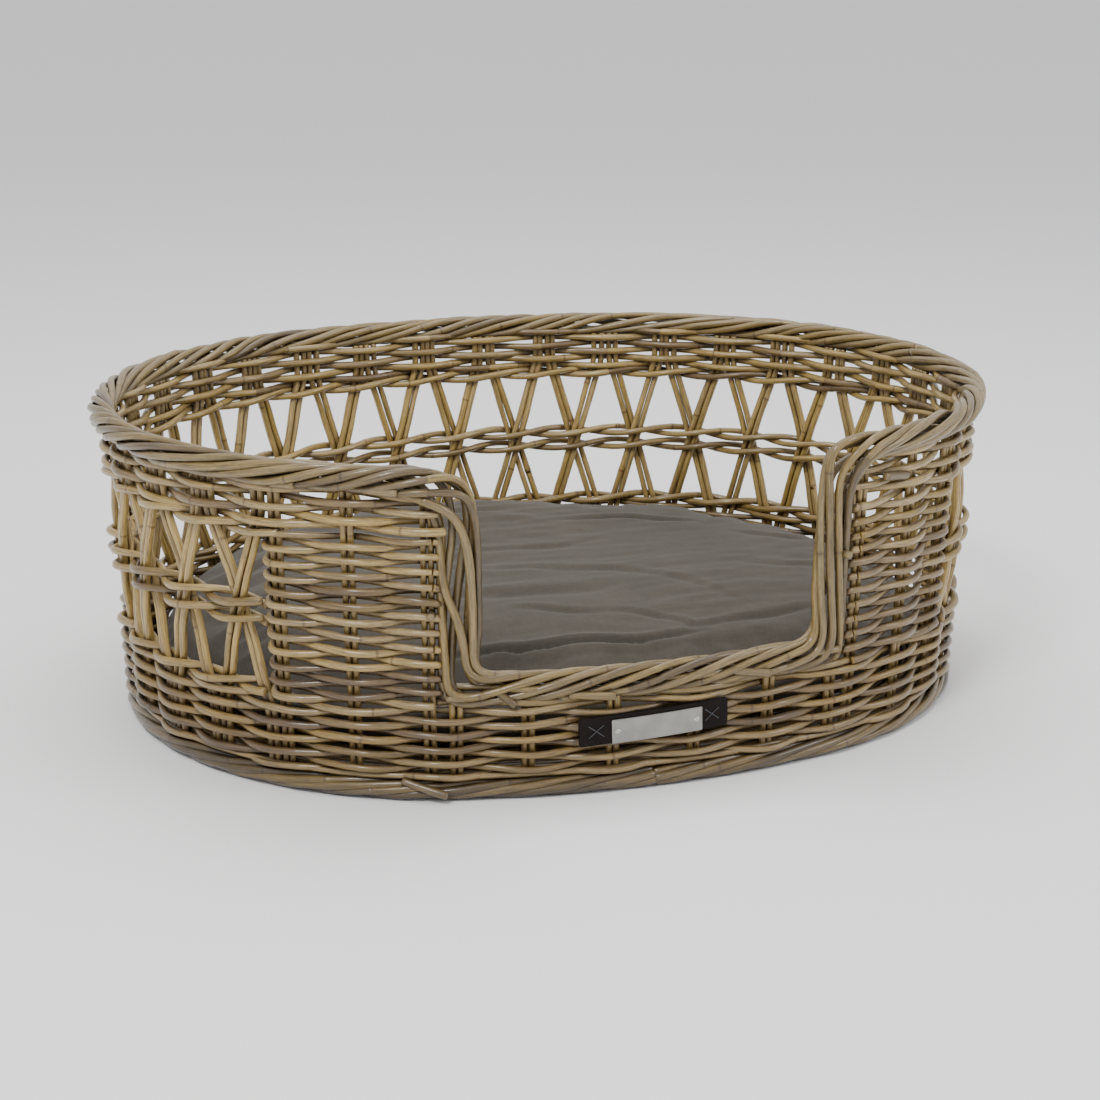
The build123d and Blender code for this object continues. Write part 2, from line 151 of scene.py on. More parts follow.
class Strands:
    """Collects rattan strands as tubes and turns them into one mesh."""

    def __init__(self, step=strand_step, sides=strand_sides):
        self.step = step
        self.sides = sides
        self.vertices, self.faces, self.grain, self.tone = [], [], [], []
        self.count = 0

    def add(self, points, radius, reference_vectors, tone=None, bumps=True, caps=(True, True)):
        """A tube along the points. The reference vectors are never along the strand."""
        points = np.asarray(points, float)
        run = np.concatenate([[0], np.cumsum(np.linalg.norm(np.diff(points, axis=0), axis=1))])
        length = run[-1]
        samples = np.linspace(0, length, max(2, int(length / self.step)))
        joints = np.cumsum(seed.uniform(0.10, 0.26, 24)) if bumps else np.array([])
        joints = joints[joints < length - 0.01]
        extra = np.array([joint + offset for joint in joints
                          for offset in (-0.0022, -0.001, 0, 0.001, 0.0022)])
        samples = np.unique(np.concatenate([samples, extra]))
        centre = np.stack([np.interp(samples, run, points[:, axis]) for axis in range(3)], axis=1)
        guide = np.broadcast_to(reference_vectors, points.shape)
        guide = np.stack([np.interp(samples, run, guide[:, axis]) for axis in range(3)], axis=1)
        along = np.gradient(centre, axis=0)
        along /= np.linalg.norm(along, axis=1, keepdims=True)
        side = np.cross(along, guide)
        side /= np.linalg.norm(side, axis=1, keepdims=True)
        out = np.cross(side, along)

        swell = np.ones_like(samples)
        mark = np.zeros_like(samples)
        for joint in joints:
            swell += 0.07 * np.exp(-((samples - joint) / 0.003) ** 2)
            mark += np.exp(-((samples - joint) / 0.0011) ** 2)
        thickness = radius * swell * (1 + wobble(samples, 0.05, 0.07))
        turns = np.arange(self.sides) * 2 * pi / self.sides + seed.uniform(0, 2 * pi)
        ring = (side[:, None] * np.cos(turns)[None, :, None] + out[:, None] * np.sin(turns)[None, :, None])
        body = centre[:, None] + ring * thickness[:, None, None]

        tone = seed.uniform(0, 1, 2) if tone is None else tone
        start = seed.uniform(0, 40)
        grain = np.zeros((len(samples), self.sides, 3))
        grain[..., 0] = np.cos(turns)
        grain[..., 1] = np.sin(turns)
        grain[..., 2] = samples[:, None] * 100 + start
        colour = np.ones((len(samples), self.sides, 4))
        colour[..., 0] = tone[0]
        colour[..., 1] = np.clip(mark, 0, 1)[:, None]
        colour[..., 2] = tone[1]

        body, grain, colour = self.cut_ends(centre, along, body, grain, colour)

        first = np.arange(len(body) - 1)[:, None] * self.sides
        a = first + np.arange(self.sides)
        b = first + (np.arange(self.sides) + 1) % self.sides
        quads = np.stack([a, b, b + self.sides, a + self.sides], axis=-1).reshape(-1, 4) + self.count
        self.vertices.append(body.reshape(-1, 3))
        self.grain.append(grain.reshape(-1, 3))
        self.tone.append(colour.reshape(-1, 4))
        self.faces += quads.tolist()
        total = len(body) * self.sides
        if caps[0]:
            self.faces.append([self.count + k for k in reversed(range(self.sides))])
        if caps[1]:
            self.faces.append([self.count + total - self.sides + k for k in range(self.sides)])
        self.count += total

    def cut_ends(self, centre, along, body, grain, colour):
        """A narrower pale ring at each end, for the chamfered face of the cut."""
        for end, way in ((0, -1), (-1, 1)):
            ring = centre[end] + (body[end] - centre[end]) * 0.72 + along[end] * way * 0.7 * mm
            pale = colour[end].copy()
            pale[:, 0] = 0.9
            pale[:, 1] = 0
            place = 0 if end == 0 else len(body)
            body = np.insert(body, place, ring, axis=0)
            grain = np.insert(grain, place, grain[end], axis=0)
            colour = np.insert(colour, place, pale, axis=0)
        return body, grain, colour

    def build(self, name, material, body, slot_name, *nodes):
        """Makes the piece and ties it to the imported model."""
        mesh = bpy.data.meshes.new(name)
        mesh.from_pydata(np.concatenate(self.vertices), [], self.faces)
        grain = mesh.attributes.new("grain", "FLOAT_VECTOR", "POINT")
        grain.data.foreach_set("vector", np.concatenate(self.grain).astype(np.float32).ravel())
        tone = mesh.attributes.new("tone", "FLOAT_COLOR", "POINT")
        tone.data.foreach_set("color", np.concatenate(self.tone).astype(np.float32).ravel())
        mesh.shade_smooth()
        return tie(mesh, name, material, body, slot_name, *nodes)


def tie(mesh, name, material, body, slot_name, *nodes):
    """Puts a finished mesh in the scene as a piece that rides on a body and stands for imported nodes."""
    piece = bpy.data.objects.new(name, mesh)
    bpy.context.scene.collection.objects.link(piece)
    mesh.materials.append(material)
    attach(piece, body)
    if nodes:
        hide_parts(*nodes)
    return piece


# ---- materials --------------------------------------------------------------------------------------
def new_material(name):
    material = bpy.data.materials.new(name)
    material.use_nodes = True
    nodes = material.node_tree.nodes
    shader = nodes["Principled BSDF"]
    return material, nodes, material.node_tree.links, shader


def ramp(nodes, stops):
    node = nodes.new("ShaderNodeValToRGB")
    elements = node.color_ramp.elements
    while len(elements) < len(stops):
        elements.new(0.5)
    for element, (place, colour) in zip(elements, stops):
        element.position = place
        element.color = (*colour, 1)
    return node


def math_node(nodes, links, operation, first, second):
    node = nodes.new("ShaderNodeMath")
    node.operation = operation
    for socket, value in zip(node.inputs, (first, second)):
        if isinstance(value, (int, float)):
            socket.default_value = value
        else:
            links.new(value, socket)
    return node.outputs[0]


def mix_node(nodes, links, blend, share, first, second):
    node = nodes.new("ShaderNodeMix")
    node.data_type = "RGBA"
    node.blend_type = blend
    node.clamp_factor = True
    for socket, value in ((node.inputs[0], share), (node.inputs[6], first), (node.inputs[7], second)):
        if isinstance(value, (int, float)):
            socket.default_value = value
        elif isinstance(value, tuple):
            socket.default_value = (*value, 1)
        else:
            links.new(value, socket)
    return node.outputs[2]


def noise_node(nodes, links, vector, scale, detail=3, roughness=0.55, stretch=(1, 1, 1)):
    mapping = nodes.new("ShaderNodeMapping")
    mapping.inputs["Scale"].default_value = stretch
    links.new(vector, mapping.inputs["Vector"])
    noise = nodes.new("ShaderNodeTexNoise")
    noise.inputs["Scale"].default_value = scale
    noise.inputs["Detail"].default_value = detail
    noise.inputs["Roughness"].default_value = roughness
    links.new(mapping.outputs[0], noise.inputs["Vector"])
    return noise.outputs["Fac"]


def bump_node(nodes, links, height, strength, distance):
    bump = nodes.new("ShaderNodeBump")
    bump.inputs["Strength"].default_value = strength
    bump.inputs["Distance"].default_value = distance
    links.new(height, bump.inputs["Height"])
    return bump.outputs[0]


def rattan(name, brightness):
    """Grey-brown rattan: strands of differing tone, streaks, dark rings at the joints, a waxy gloss, and
    painted shade in the recesses and towards the floor.
    """
    material, nodes, links, shader = new_material(name)
    grain = nodes.new("ShaderNodeAttribute")
    grain.attribute_name = "grain"
    tone = nodes.new("ShaderNodeAttribute")
    tone.attribute_name = "tone"
    split = nodes.new("ShaderNodeSeparateColor")
    links.new(tone.outputs["Color"], split.inputs[0])
    own, mark, hue = split.outputs

    drift = noise_node(nodes, links, grain.outputs["Vector"], 1.0, 2, stretch=(0.25, 0.25, 0.10))
    shifted = math_node(nodes, links, "ADD", own, math_node(nodes, links, "MULTIPLY_ADD", drift, 0.9))
    shifted = math_node(nodes, links, "SUBTRACT", shifted, 0.45)
    greys = ((0.0, (0.022, 0.012, 0.006)), (0.3, (0.085, 0.053, 0.028)), (0.6, (0.178, 0.122, 0.076)),
             (1.0, (0.375, 0.296, 0.184)))
    golds = ((0.0, (0.030, 0.015, 0.005)), (0.3, (0.105, 0.061, 0.020)), (0.6, (0.222, 0.155, 0.045)),
             (1.0, (0.425, 0.312, 0.118)))
    filters = (brightness, 0.94 * brightness, 0.67 * brightness)
    mauve, honey = (ramp(nodes, [(place, tuple(np.multiply(colour, filters))) for place, colour in stops])
                    for stops in (greys, golds))
    links.new(shifted, mauve.inputs[0])
    links.new(shifted, honey.inputs[0])
    coloured = mix_node(nodes, links, "MIX", hue, mauve.outputs[0], honey.outputs[0])
    streak = noise_node(nodes, links, grain.outputs["Vector"], 2.4, 4, 0.6, stretch=(1.6, 1.6, 0.16))
    streak_tint = ramp(nodes, ((0.30, (0.34, 0.29, 0.24)), (0.48, (0.92, 0.90, 0.88)),
                               (0.72, (1.55, 1.52, 1.48))))
    links.new(streak, streak_tint.inputs[0])
    streaked = mix_node(nodes, links, "MULTIPLY", 0.8, coloured, streak_tint.outputs[0])
    ringed = mix_node(nodes, links, "MULTIPLY", mark, streaked, (0.42, 0.34, 0.28))
    blotch = noise_node(nodes, links, grain.outputs["Vector"], 1.5, 5, 0.7, stretch=(1, 1, 0.35))
    blotch_tint = ramp(nodes, ((0.30, (0.35, 0.30, 0.26)), (0.44, (1, 1, 1))))
    links.new(blotch, blotch_tint.inputs[0])
    worn = mix_node(nodes, links, "MULTIPLY", 0.8, ringed, blotch_tint.outputs[0])
    # Painted shade: the colour darkens towards the floor, where the strands get less light.
    place = nodes.new("ShaderNodeTexCoord")
    height = nodes.new("ShaderNodeSeparateXYZ")
    links.new(place.outputs["Object"], height.inputs[0])
    floor_shade = ramp(nodes, ((0.005, (0.62, 0.58, 0.52)), (0.06, (0.68, 0.64, 0.58)), (0.14, (1, 1, 1))))
    links.new(height.outputs["Z"], floor_shade.inputs[0])
    fibre = noise_node(nodes, links, grain.outputs["Vector"], 5, 4, 0.6, stretch=(2.2, 2.2, 0.22))
    scars = ramp(nodes, ((0.36, (0.42, 0.36, 0.30)), (0.45, (1, 1, 1)), (0.66, (1.18, 1.17, 1.15))))
    links.new(fibre, scars.inputs[0])
    scarred = mix_node(nodes, links, "MULTIPLY", 0.8, worn, scars.outputs[0])
    floor_shaded = mix_node(nodes, links, "MULTIPLY", 1.0, scarred, floor_shade.outputs[0])
    # Painted shade from ambient occlusion: the colour darkens in the recesses between strands, and open
    # surfaces are lifted a little brighter as painted light.
    hollow = nodes.new("ShaderNodeAmbientOcclusion")
    hollow.samples = 4
    hollow.inputs["Distance"].default_value = 14 * mm
    painted_recess_shade = ramp(nodes, ((0.05, (0.24, 0.18, 0.13)), (0.45, (0.76, 0.71, 0.65)),
                          (0.80, (1.18, 1.17, 1.14))))
    links.new(hollow.outputs["AO"], painted_recess_shade.inputs[0])
    recess_shaded = mix_node(nodes, links, "MULTIPLY", 1.0, floor_shaded, painted_recess_shade.outputs[0])
    links.new(recess_shaded, shader.inputs["Base Color"])
    shader.inputs["Coat Weight"].default_value = 0.55
    shader.inputs["Coat Roughness"].default_value = 0.16

    rough = nodes.new("ShaderNodeMapRange")
    rough.inputs["To Min"].default_value = 0.28
    rough.inputs["To Max"].default_value = 0.60
    links.new(blotch, rough.inputs["Value"])
    links.new(rough.outputs[0], shader.inputs["Roughness"])
    links.new(bump_node(nodes, links, fibre, 0.7, 0.4 * mm), shader.inputs["Normal"])
    return material


rattan_weave = rattan("rattan_weave", 0.70)
rattan_rods = rattan("rattan_rods", 0.76)
# The border copy is darker as painted shade: its colour is pulled down for how the rim and sill catch light
# from above and the foot lies in shade, not for a darker rattan.
rattan_border = rattan("rattan_border", 0.41)
rattan_base = rattan("rattan_base", 0.74)

# ---- how rows pass the stakes -----------------------------------------------------------------------
lattice_ring = [(place, lattice_half) for place in reversed(lattice_groups)]
lattice_ring += [(perimeter - place, half) for place, half in reversed(lattice_ring)]
ring_groups = list(right_groups) + lattice_ring
ring_groups += [(perimeter - place, half) for place, half in reversed(left_groups)]
swing = stake_radius + weaver_radius + 0.2 * mm


def in_and_out(station, groups, first_sign, radius):
    """Outset of a weaver that passes outside and inside of the groups of stakes in turn."""
    marks = np.array([place for place, _ in groups])
    index = np.clip(np.searchsorted(marks, station) - 1, 0, len(marks) - 2)
    share = (station - marks[index]) / (marks[index + 1] - marks[index])
    wide = np.array([rod_radius + radius + half * 0.06 for _, half in groups])
    amount = wide[index] + (wide[index + 1] - wide[index]) * share
    return first_sign * (-1.0) ** index * amount * np.cos(pi * share)


def settle(station, height):
    """The rows rise and sink a little together, as woven rows do."""
    station, height = np.broadcast_arrays(station, height)
    slow = np.sin(station * 17 + height * 40) + 0.8 * np.sin(station * 41 - height * 65 + 1.3)
    return 0.8 * mm * (slow + 0.6 * np.sin(station * 93 + height * 25))


def add_row(strands, station, outset, height, radius, cuts, tones=None):
    """A row of strands that follow on from one another; cuts are the stations where one ends."""
    edges = [station[0], *sorted(cuts), station[-1]]
    for number, (low, high) in enumerate(zip(edges, edges[1:])):
        part = (station >= low - 5 * mm) & (station <= high + 5 * mm)
        if part.sum() > 4:
            points = wall(station[part], outset[part], height[part])
            strands.add(points, radius * seed.uniform(0.86, 1.08), upright)


def weave_ring(strands, height, parity):
    """One row right round the basket, of strands that meet inside the wall."""
    before = (ring_groups[-1][0] - perimeter, ring_groups[-1][1])
    after = [(place + perimeter, half) for place, half in ring_groups[:2]]
    groups = [before] + ring_groups + after
    sign = -1 if parity else 1
    inside = [place for number, (place, _) in enumerate(groups) if sign * (-1) ** number < 0]
    inside = [place for place in inside if 0 <= place < perimeter]
    starts = sorted(seed.choice(inside, 5, replace=False) + seed.uniform(-16, 16, 5) * mm)
    for start, end in zip(starts, starts[1:] + [starts[0] + perimeter]):
        station = np.arange(start - 12 * mm, end + 12 * mm, path_step)
        turned = np.mod(station, perimeter)
        outset = in_and_out(turned, groups, sign, weaver_radius) + wobble(station, 0.35 * mm, 0.05)
        level = height + settle(turned, height) + wobble(station, 0.45 * mm, 0.13)
        strands.add(wall(station, outset, level), weaver_radius * seed.uniform(0.86, 1.08), upright)


def twine(strands, height, marks, amount, lift, first, last, radius):
    """Two strands twisted round each other: at every mark one passes outside and the other inside."""
    for strand in (0, 1):
        station = np.arange(first, last, path_step)
        number = np.clip(np.searchsorted(marks, station) - 1, 0, len(marks) - 2)
        share = (station - marks[number]) / (marks[number + 1] - marks[number])
        phase = pi * (number + share + strand)
        outset = amount * np.cos(phase) + wobble(station, 0.4 * mm, 0.09)
        level = height + lift * np.sin(phase) + wobble(station, 0.8 * mm, 0.4)
        inside = marks[(np.arange(len(marks)) + strand) % 2 == 1]
        inside = inside[(inside > first + 60 * mm) & (inside < last - 60 * mm)]
        add_row(strands, station, outset, level, radius, seed.choice(inside, 3, replace=False))


# ---- lower weave: tight rows all the way round --------------------------------------------------------
lower = Strands()
row_count = int((lower_top - foot_top) / weaver_pitch)
for row in range(row_count):
    weave_ring(lower, foot_top + (row + 0.5) * weaver_pitch, row % 2)
lower.build("lower_weave_strands", rattan_weave, "basket", "rattan_weave", "lower_weave")

# ---- twined rows of the lattice -------------------------------------------------------------------
twine_first = 366 * mm
group_marks = np.array([place for place, _ in lattice_ring])
group_marks = np.concatenate([[group_marks[0] - lattice_pitch], group_marks,
                              [group_marks[-1] + lattice_pitch]])
crossings = back + (np.arange(lattice_count) - lattice_count // 2) * lattice_pitch
crossing_marks = np.concatenate([[crossings[0] - lattice_pitch], crossings, [crossings[-1] + lattice_pitch]])
layer = 3.8 * mm               # each family of lattice rods lies this far from the wall's centre line
bind = layer + rod_radius + upper_radius
bands = (
    ("lattice_foot_strands", "lattice_foot_twine", lower_top + 5.5 * mm, group_marks, bind - 2 * mm),
    ("mid_twine_lower_strands", "mid_twine_lower", mid_height - 8 * mm, crossing_marks, bind),
    ("mid_twine_upper_strands", "mid_twine_upper", mid_height + 8 * mm, crossing_marks, bind),
)
for name, node, height, marks, amount in bands:
    strands = Strands()
    twine(strands, height, marks, amount, 3.4 * mm, twine_first, perimeter - twine_first, upper_radius)
    strands.build(name, rattan_weave, "basket", "rattan_weave", node)

# ---- panels beside the entrance ---------------------------------------------------------------------
panel_groups = ((post_stakes, 4 * mm), middle_group, (edge_stakes, 4 * mm))
panel_near = post_stakes - 4 * mm
panel_far = edge_stakes + 4 * mm


def panel_path(rows):
    """One strand that runs to and fro between the post and the panel's outer edge, turning round each."""
    station, outset, level, row_of = [], [], [], []
    across = np.arange(panel_near, panel_far, path_step)
    half_circle = np.linspace(0, pi, 12)[1:-1]
    for row in rows:
        height = lower_top + (row + 0.5) * weaver_pitch
        forward = row % 2 == 0
        wave = in_and_out(across, panel_groups, 1 if forward else -1, weaver_radius)
        bend_station = swing * np.sin(half_circle)
        bend_outset = swing * np.cos(half_circle)
        rise = height + weaver_pitch * smooth(half_circle / pi)
        if forward:
            station += [across, panel_far + bend_station]
            outset += [wave, bend_outset]
        else:
            station += [across[::-1], panel_near - bend_station]
            outset += [wave[::-1], -bend_outset]
        level += [np.full(len(across), height), rise]
        row_of += [np.full(len(across) + len(half_circle), row)]
    return tuple(np.concatenate(v) for v in (station, outset, level, row_of))


def panel(side):
    strands = Strands()
    rows = int((upper_low + 8 * mm - lower_top) / weaver_pitch)
    station, outset, level, row_of = panel_path(range(rows))
    run = np.arange(len(station)) * path_step
    level = level + settle(station + side, level) + wobble(run, 0.45 * mm, 0.12)
    low = 0
    while low < rows:
        high = min(rows, low + int(seed.integers(1, 5)))
        part = (row_of >= low) & (row_of < high)
        points = wall(side * station[part], outset[part], level[part])
        strands.add(points, weaver_radius * seed.uniform(0.86, 1.08), upright)
        low = high
    return strands


panel(-1).build("panel_left_strands", rattan_weave, "basket", "rattan_weave", "panel_weave_left")
panel(1).build("panel_right_strands", rattan_weave, "basket", "rattan_weave", "panel_weave_right")

# ---- where the border runs: along the sill, up the posts, over the shoulders and along the rim -------------
border_radius = 3.9 * mm
border_strands = 7
sill_height = 105.5 * mm
sill_half = 12 * mm
post_half = 16.5 * mm
rim_half = rim_radius - border_radius + 0.2 * mm
sill_reach = 26 * mm                  # a corner is rounded within this reach of it
right_post = (178 * mm, 44 * mm)      # station of the post's middle, and the reach of its shoulder
left_post = (182 * mm, 62 * mm)
twist_length = 0.27


def past(run, reach):
    """0 before a corner and the distance past it after, rounded within a reach of the corner."""
    near = np.clip(run + reach, 0, 2 * reach)
    return near**2 / (4 * reach) + np.maximum(run - reach, 0)


def shoulder_station(height, post):
    """Distance from the entrance's middle to the middle of the border at a height."""
    middle, reach = post
    share = sqrt(min(max((rim_height - height) / reach, 0), 1))
    return middle + reach * (1 - share) ** 2


# ---- upper weave: rows under the rim, from one post round the back to the other ---------------------------
upper = Strands()
upper_groups = list(panel_groups[:2]) + [edge_group] + lattice_ring
upper_groups += [(perimeter - place, half)
                 for place, half in reversed((panel_groups[0], middle_group, edge_group))]
upper_marks = np.array([place for place, _ in upper_groups])
twine(upper, upper_low + 4.5 * mm, upper_marks, rod_radius + upper_radius + 1 * mm, 3.4 * mm,
      twine_first - 22 * mm, perimeter - twine_first + 22 * mm, upper_radius)
upper_rows = 6
for row in range(upper_rows):
    row_height = upper_low + 13.5 * mm + row * upper_pitch
    first = shoulder_station(row_height + 6 * mm, right_post) + 9 * mm
    last = perimeter - shoulder_station(row_height + 6 * mm, left_post) - 9 * mm
    station = np.arange(first, last, path_step)
    sign = 1 if row % 2 else -1
    outset = in_and_out(station, upper_groups, sign, upper_radius) + wobble(station, 0.5 * mm, 0.06)
    level = row_height + wobble(station, 1.3 * mm, 0.33)
    inside = [place for number, place in enumerate(upper_marks) if sign * (-1) ** number < 0]
    add_row(upper, station, outset, level, upper_radius, seed.choice(inside[1:-1], 5, replace=False))
upper.build("upper_weave_strands", rattan_weave, "basket", "rattan_weave", "upper_weave")

# ---- stakes and lattice rods ------------------------------------------------------------------------


def stake_tone():
    return seed.uniform(0.45, 0.95), seed.uniform(0.55, 1)


def stake_pair(strands, place, low, high, count=2):
    """Upright stakes side by side round a station."""
    height = np.arange(low, high, 3 * mm)
    for number in range(count):
        beside = place + (number - (count - 1) / 2) * stake_spacing
        along = beside + wobble(height, 0.5 * mm, 0.3)
        outset = wobble(height, 0.3 * mm, 0.2)
        points = wall(along, outset, height)
        strands.add(points, stake_radius * seed.uniform(0.93, 1.07), facing(along), stake_tone())


sill_stations = (186 * mm, 115 * mm, 38 * mm, -42 * mm, -121 * mm, -186 * mm)
stake_sets = (
    ("sill_stake_strands", "sill_stakes", sill_stations, lower_top + 12 * mm),
    ("post_stake_strands", "post_stakes", (-post_stakes, post_stakes), rim_low + 2 * mm),
    ("panel_stake_strands", "panel_stakes",
     [side * place for side in (-1, 1) for place in (281 * mm, edge_stakes)],
     rim_low + 2 * mm),
)
for name, node, stations, high in stake_sets:
    strands = Strands()
    for place in stations:
        stake_pair(strands, place, base_top - 4 * mm, high)
    strands.build(name, rattan_rods, "basket", "rattan_rods", node)


def lattice_rods(name, lean, node):
    """Pairs of rods that stand upright in the bands and lean to the next pair's place between them."""
    strands = Strands()
    height = np.arange(base_top - 4 * mm, rim_low + 4 * mm, 2 * mm)
    knots = (base_top, lower_top - 16 * mm, lower_top + 3 * mm, upper_low, upper_low + 16 * mm, rim_high)
    band_reach = lattice_pitch / 2 - rod_spacing
    reach = (-band_reach, -band_reach, -leg_reach, leg_reach, band_reach, band_reach)
    around = np.arange(-8, 9) * 1.5 * mm
    sideways = np.mean([np.interp(height + shift, knots, reach) for shift in around], axis=0)
    near = smooth(1 - (np.abs(height - mid_height) - 26 * mm) / (46 * mm))
    for crossing in crossings:
        for rod in (-0.5, 0.5):
            tilt = (seed.uniform(-1.2, 1.2) * mm * (height - mid_height) / (80 * mm)
                    + wobble(height, 0.6 * mm, 0.3))
            place = crossing + lean * sideways + rod * rod_spacing + tilt
            outset = lean * layer * near + seed.uniform(-0.3, 0.3) * mm
            strands.add(wall(place, outset, height), rod_radius * seed.uniform(0.9, 1.04), facing(place),
                        (seed.uniform(0.3, 0.85), seed.uniform(0.3, 1)))
    strands.build(name, rattan_rods, "basket", "rattan_rods", node)


lattice_rods("lattice_rods_outer_strands", 1, "lattice_rods_outer")
lattice_rods("lattice_rods_inner_strands", -1, "lattice_rods_inner")

# ---- borders: twisted bundles of strands ----------------------------------------------------------------


def rope(station, outset, height, tangent, half_across, half_out, count, pitch, unrest=0.25):
    """Strands wound round a line in the wall. tangent is 0 along the wall and a right angle going up.

    Yields the points and the outward directions of one strand after another."""
    centre = wall(station, outset, height)
    run = np.concatenate([[0], np.cumsum(np.linalg.norm(np.diff(centre, axis=0), axis=1))])
    out = facing(station)
    fade = away_from_ends(run)
    for number in range(count):
        phase = run / pitch * 2 * pi + number * 2 * pi / count + fade * wobble(run, unrest, 0.45)
        across = half_across * np.sin(phase) * (1 + fade * wobble(run, 0.07, 0.21))
        depth = half_out * np.cos(phase) * (1 + fade * wobble(run, 0.10, 0.17))
        place = station - across * np.sin(tangent)
        level = height + across * np.cos(tangent)
        yield wall(place, outset + depth, level), out


foot_radius = 4.1 * mm
foot_station = np.arange(0, perimeter + 3 * mm, 3 * mm)
foot_across = foot_top / 2 - foot_radius
foot = Strands(sides=9)
for points, out in rope(foot_station, 0 * mm, foot_top / 2, 0 * foot_station, foot_across, 7 * mm, 6,
                        perimeter / 8):
    points[:, 2] = np.maximum(points[:, 2], foot_radius * 1.2)
    ends = np.sort(seed.choice(len(points) - 1, 3, replace=False))
    for first, last in zip(ends, [*ends[1:], ends[0] + len(points) - 1]):
        around = np.arange(first, last + 3) % (len(points) - 1)
        foot.add(points[around], foot_radius * seed.uniform(0.9, 1.05), out[around])
foot_end = wall(np.linspace(-236, -195, 8) * mm, np.linspace(6, 15, 8) * mm, np.linspace(19, 8.5, 8) * mm)
foot.add(foot_end, 3.7 * mm, upright, bumps=False)
foot.build("foot_border_strands", rattan_border, "basket", "rattan_border", "foot_border")

# The rim runs down over the shoulders into the posts and along the sill: one closed bundle.
def border_place(run, across, post):
    """Station and height of a strand, from its distance to the sill's middle and to the bundle's."""
    middle, shoulder = post
    rise = past(run - middle + across, sill_reach)
    over = past(sill_height + rise - rim_height, shoulder)
    return run - rise + over, sill_height + across + rise - over


def border_shares(run, post):
    """How much of the post and of the rim there is in the bundle at a distance from the sill's middle."""
    middle, shoulder = post
    rim_run = middle + rim_height - sill_height
    on_rim = smooth((run - rim_run + 0.75 * shoulder) / (1.3 * shoulder))
    on_post = smooth((run - middle + sill_reach) / (2 * sill_reach)) * (1 - on_rim)
    return on_post, on_rim


def border_side(post):
    run = np.arange(0, back + rim_height - sill_height, path_step * 2)
    on_post, on_rim = border_shares(run, post)
    return run, on_post, on_rim


right_run, right_on_post, right_on_rim = border_side(right_post)
left_run, left_on_post, left_on_rim = border_side(left_post)
on_post = np.concatenate([right_on_post, left_on_post[::-1]])
on_rim = np.concatenate([right_on_rim, left_on_rim[::-1]])
is_left = np.arange(len(on_rim)) >= len(right_run)
whole_run = np.arange(len(on_rim)) * path_step * 2
twist_rate = (1 - 0.62 * on_post) * (1 + away_from_ends(whole_run) * wobble(whole_run, 0.45, 0.37))
twist_run = np.cumsum(twist_rate) * path_step * 2
twist = twist_run / twist_run[-1] * round(twist_run[-1] / twist_length) * 2 * pi
half_across = sill_half + (post_half - sill_half) * on_post + (rim_half - sill_half) * on_rim
half_out = 6 * mm + (rim_half - 6 * mm) * on_rim
middle_outset = 1 * mm + (rim_outset - 1 * mm) * on_rim
fade = away_from_ends(whole_run)
rim_border = Strands(sides=9)
entrance_border = Strands(sides=9)
rim_from, rim_to = np.flatnonzero(on_rim > 0.9)[[0, -1]]
for number in range(border_strands):
    phase = twist + number * 2 * pi / border_strands + fade * wobble(whole_run, 0.42, 0.5)
    across = half_across * np.sin(phase) * (1 + fade * wobble(whole_run, 0.08, 0.21))
    depth = half_out * np.cos(phase) * (1 + fade * wobble(whole_run, 0.14, 0.19))
    right_place = border_place(right_run, across[~is_left], right_post)
    left_place = border_place(left_run, across[is_left][::-1], left_post)
    along = np.concatenate([right_place[0], perimeter - left_place[0][::-1]])
    level = np.concatenate([right_place[1], left_place[1][::-1]])
    points = wall(along, middle_outset + depth, level)
    out = facing(along)
    thickness = border_radius * seed.uniform(0.88, 1.06)
    cuts = [rim_from, *sorted(seed.integers(rim_from + 60, rim_to - 60, 3)), rim_to]
    for first, last in zip(cuts, cuts[1:]):
        rim_border.add(points[first:last + 2], thickness, out[first:last + 2], seed.uniform(0.1, 1, 2))
    through = np.concatenate([np.arange(rim_to, len(points)), np.arange(1, rim_from + 2)])
    entrance_border.add(points[through], thickness, out[through], seed.uniform(0.1, 1, 2))

# Cut ends that stand out of the weaving: station, outset and height where each starts and where it ends.
end_stubs = (
    ((-262, 9, 290), (-233, 15, 289), border_radius),
    ((-352, 6, 288), (-322, 14, 291), border_radius),
    ((-206, 2, 177), (-207, 14, 177), border_radius),
    ((186, 2, 199), (187, 15, 200), weaver_radius),
    ((262, 8, 262), (226, 13, 268), upper_radius),
    ((-84, 5, 97), (-45, 15, 96), border_radius),
    ((70, 5, 104), (106, 15, 99), border_radius),
    ((-150, 4, 104), (-134, 11, 92), weaver_radius),
)
for start, end, radius in end_stubs:
    share = np.linspace(0, 1, 8)[:, None]
    line = (np.array(start) * (1 - share) + np.array(end) * share) * mm
    points = wall(line[:, 0], line[:, 1], line[:, 2])
    strands = rim_border if start[2] > 250 else entrance_border
    strands.add(points, radius, upright if abs(start[0] - end[0]) > 5 else facing(line[:, 0]) + upright,
                bumps=False)
sill_groups = [(place, 4 * mm) for place in reversed(sill_stations)]
for number, (height, reach) in enumerate(((91.5 * mm, 204 * mm), (98 * mm, 194 * mm),
                                          (104.5 * mm, 190 * mm))):
    station = np.arange(-reach, reach, path_step)
    outset = in_and_out(station, sill_groups, 1 if number % 2 else -1, weaver_radius) * 0.85
    level = height + settle(station, height) + wobble(station, 0.6 * mm, 0.2)
    points = wall(station, outset, level)
    entrance_border.add(points, weaver_radius * seed.uniform(0.86, 1.02), upright)
rim_border.build("rim_border_strands", rattan_border, "basket", "rattan_border", "rim_border")
entrance_border.build("entrance_border_strands", rattan_border, "basket", "rattan_border", "entrance_border")

# ---- base: sticks both ways under a woven mat ------------------------------------------------------------
stick_radius = 3.5 * mm


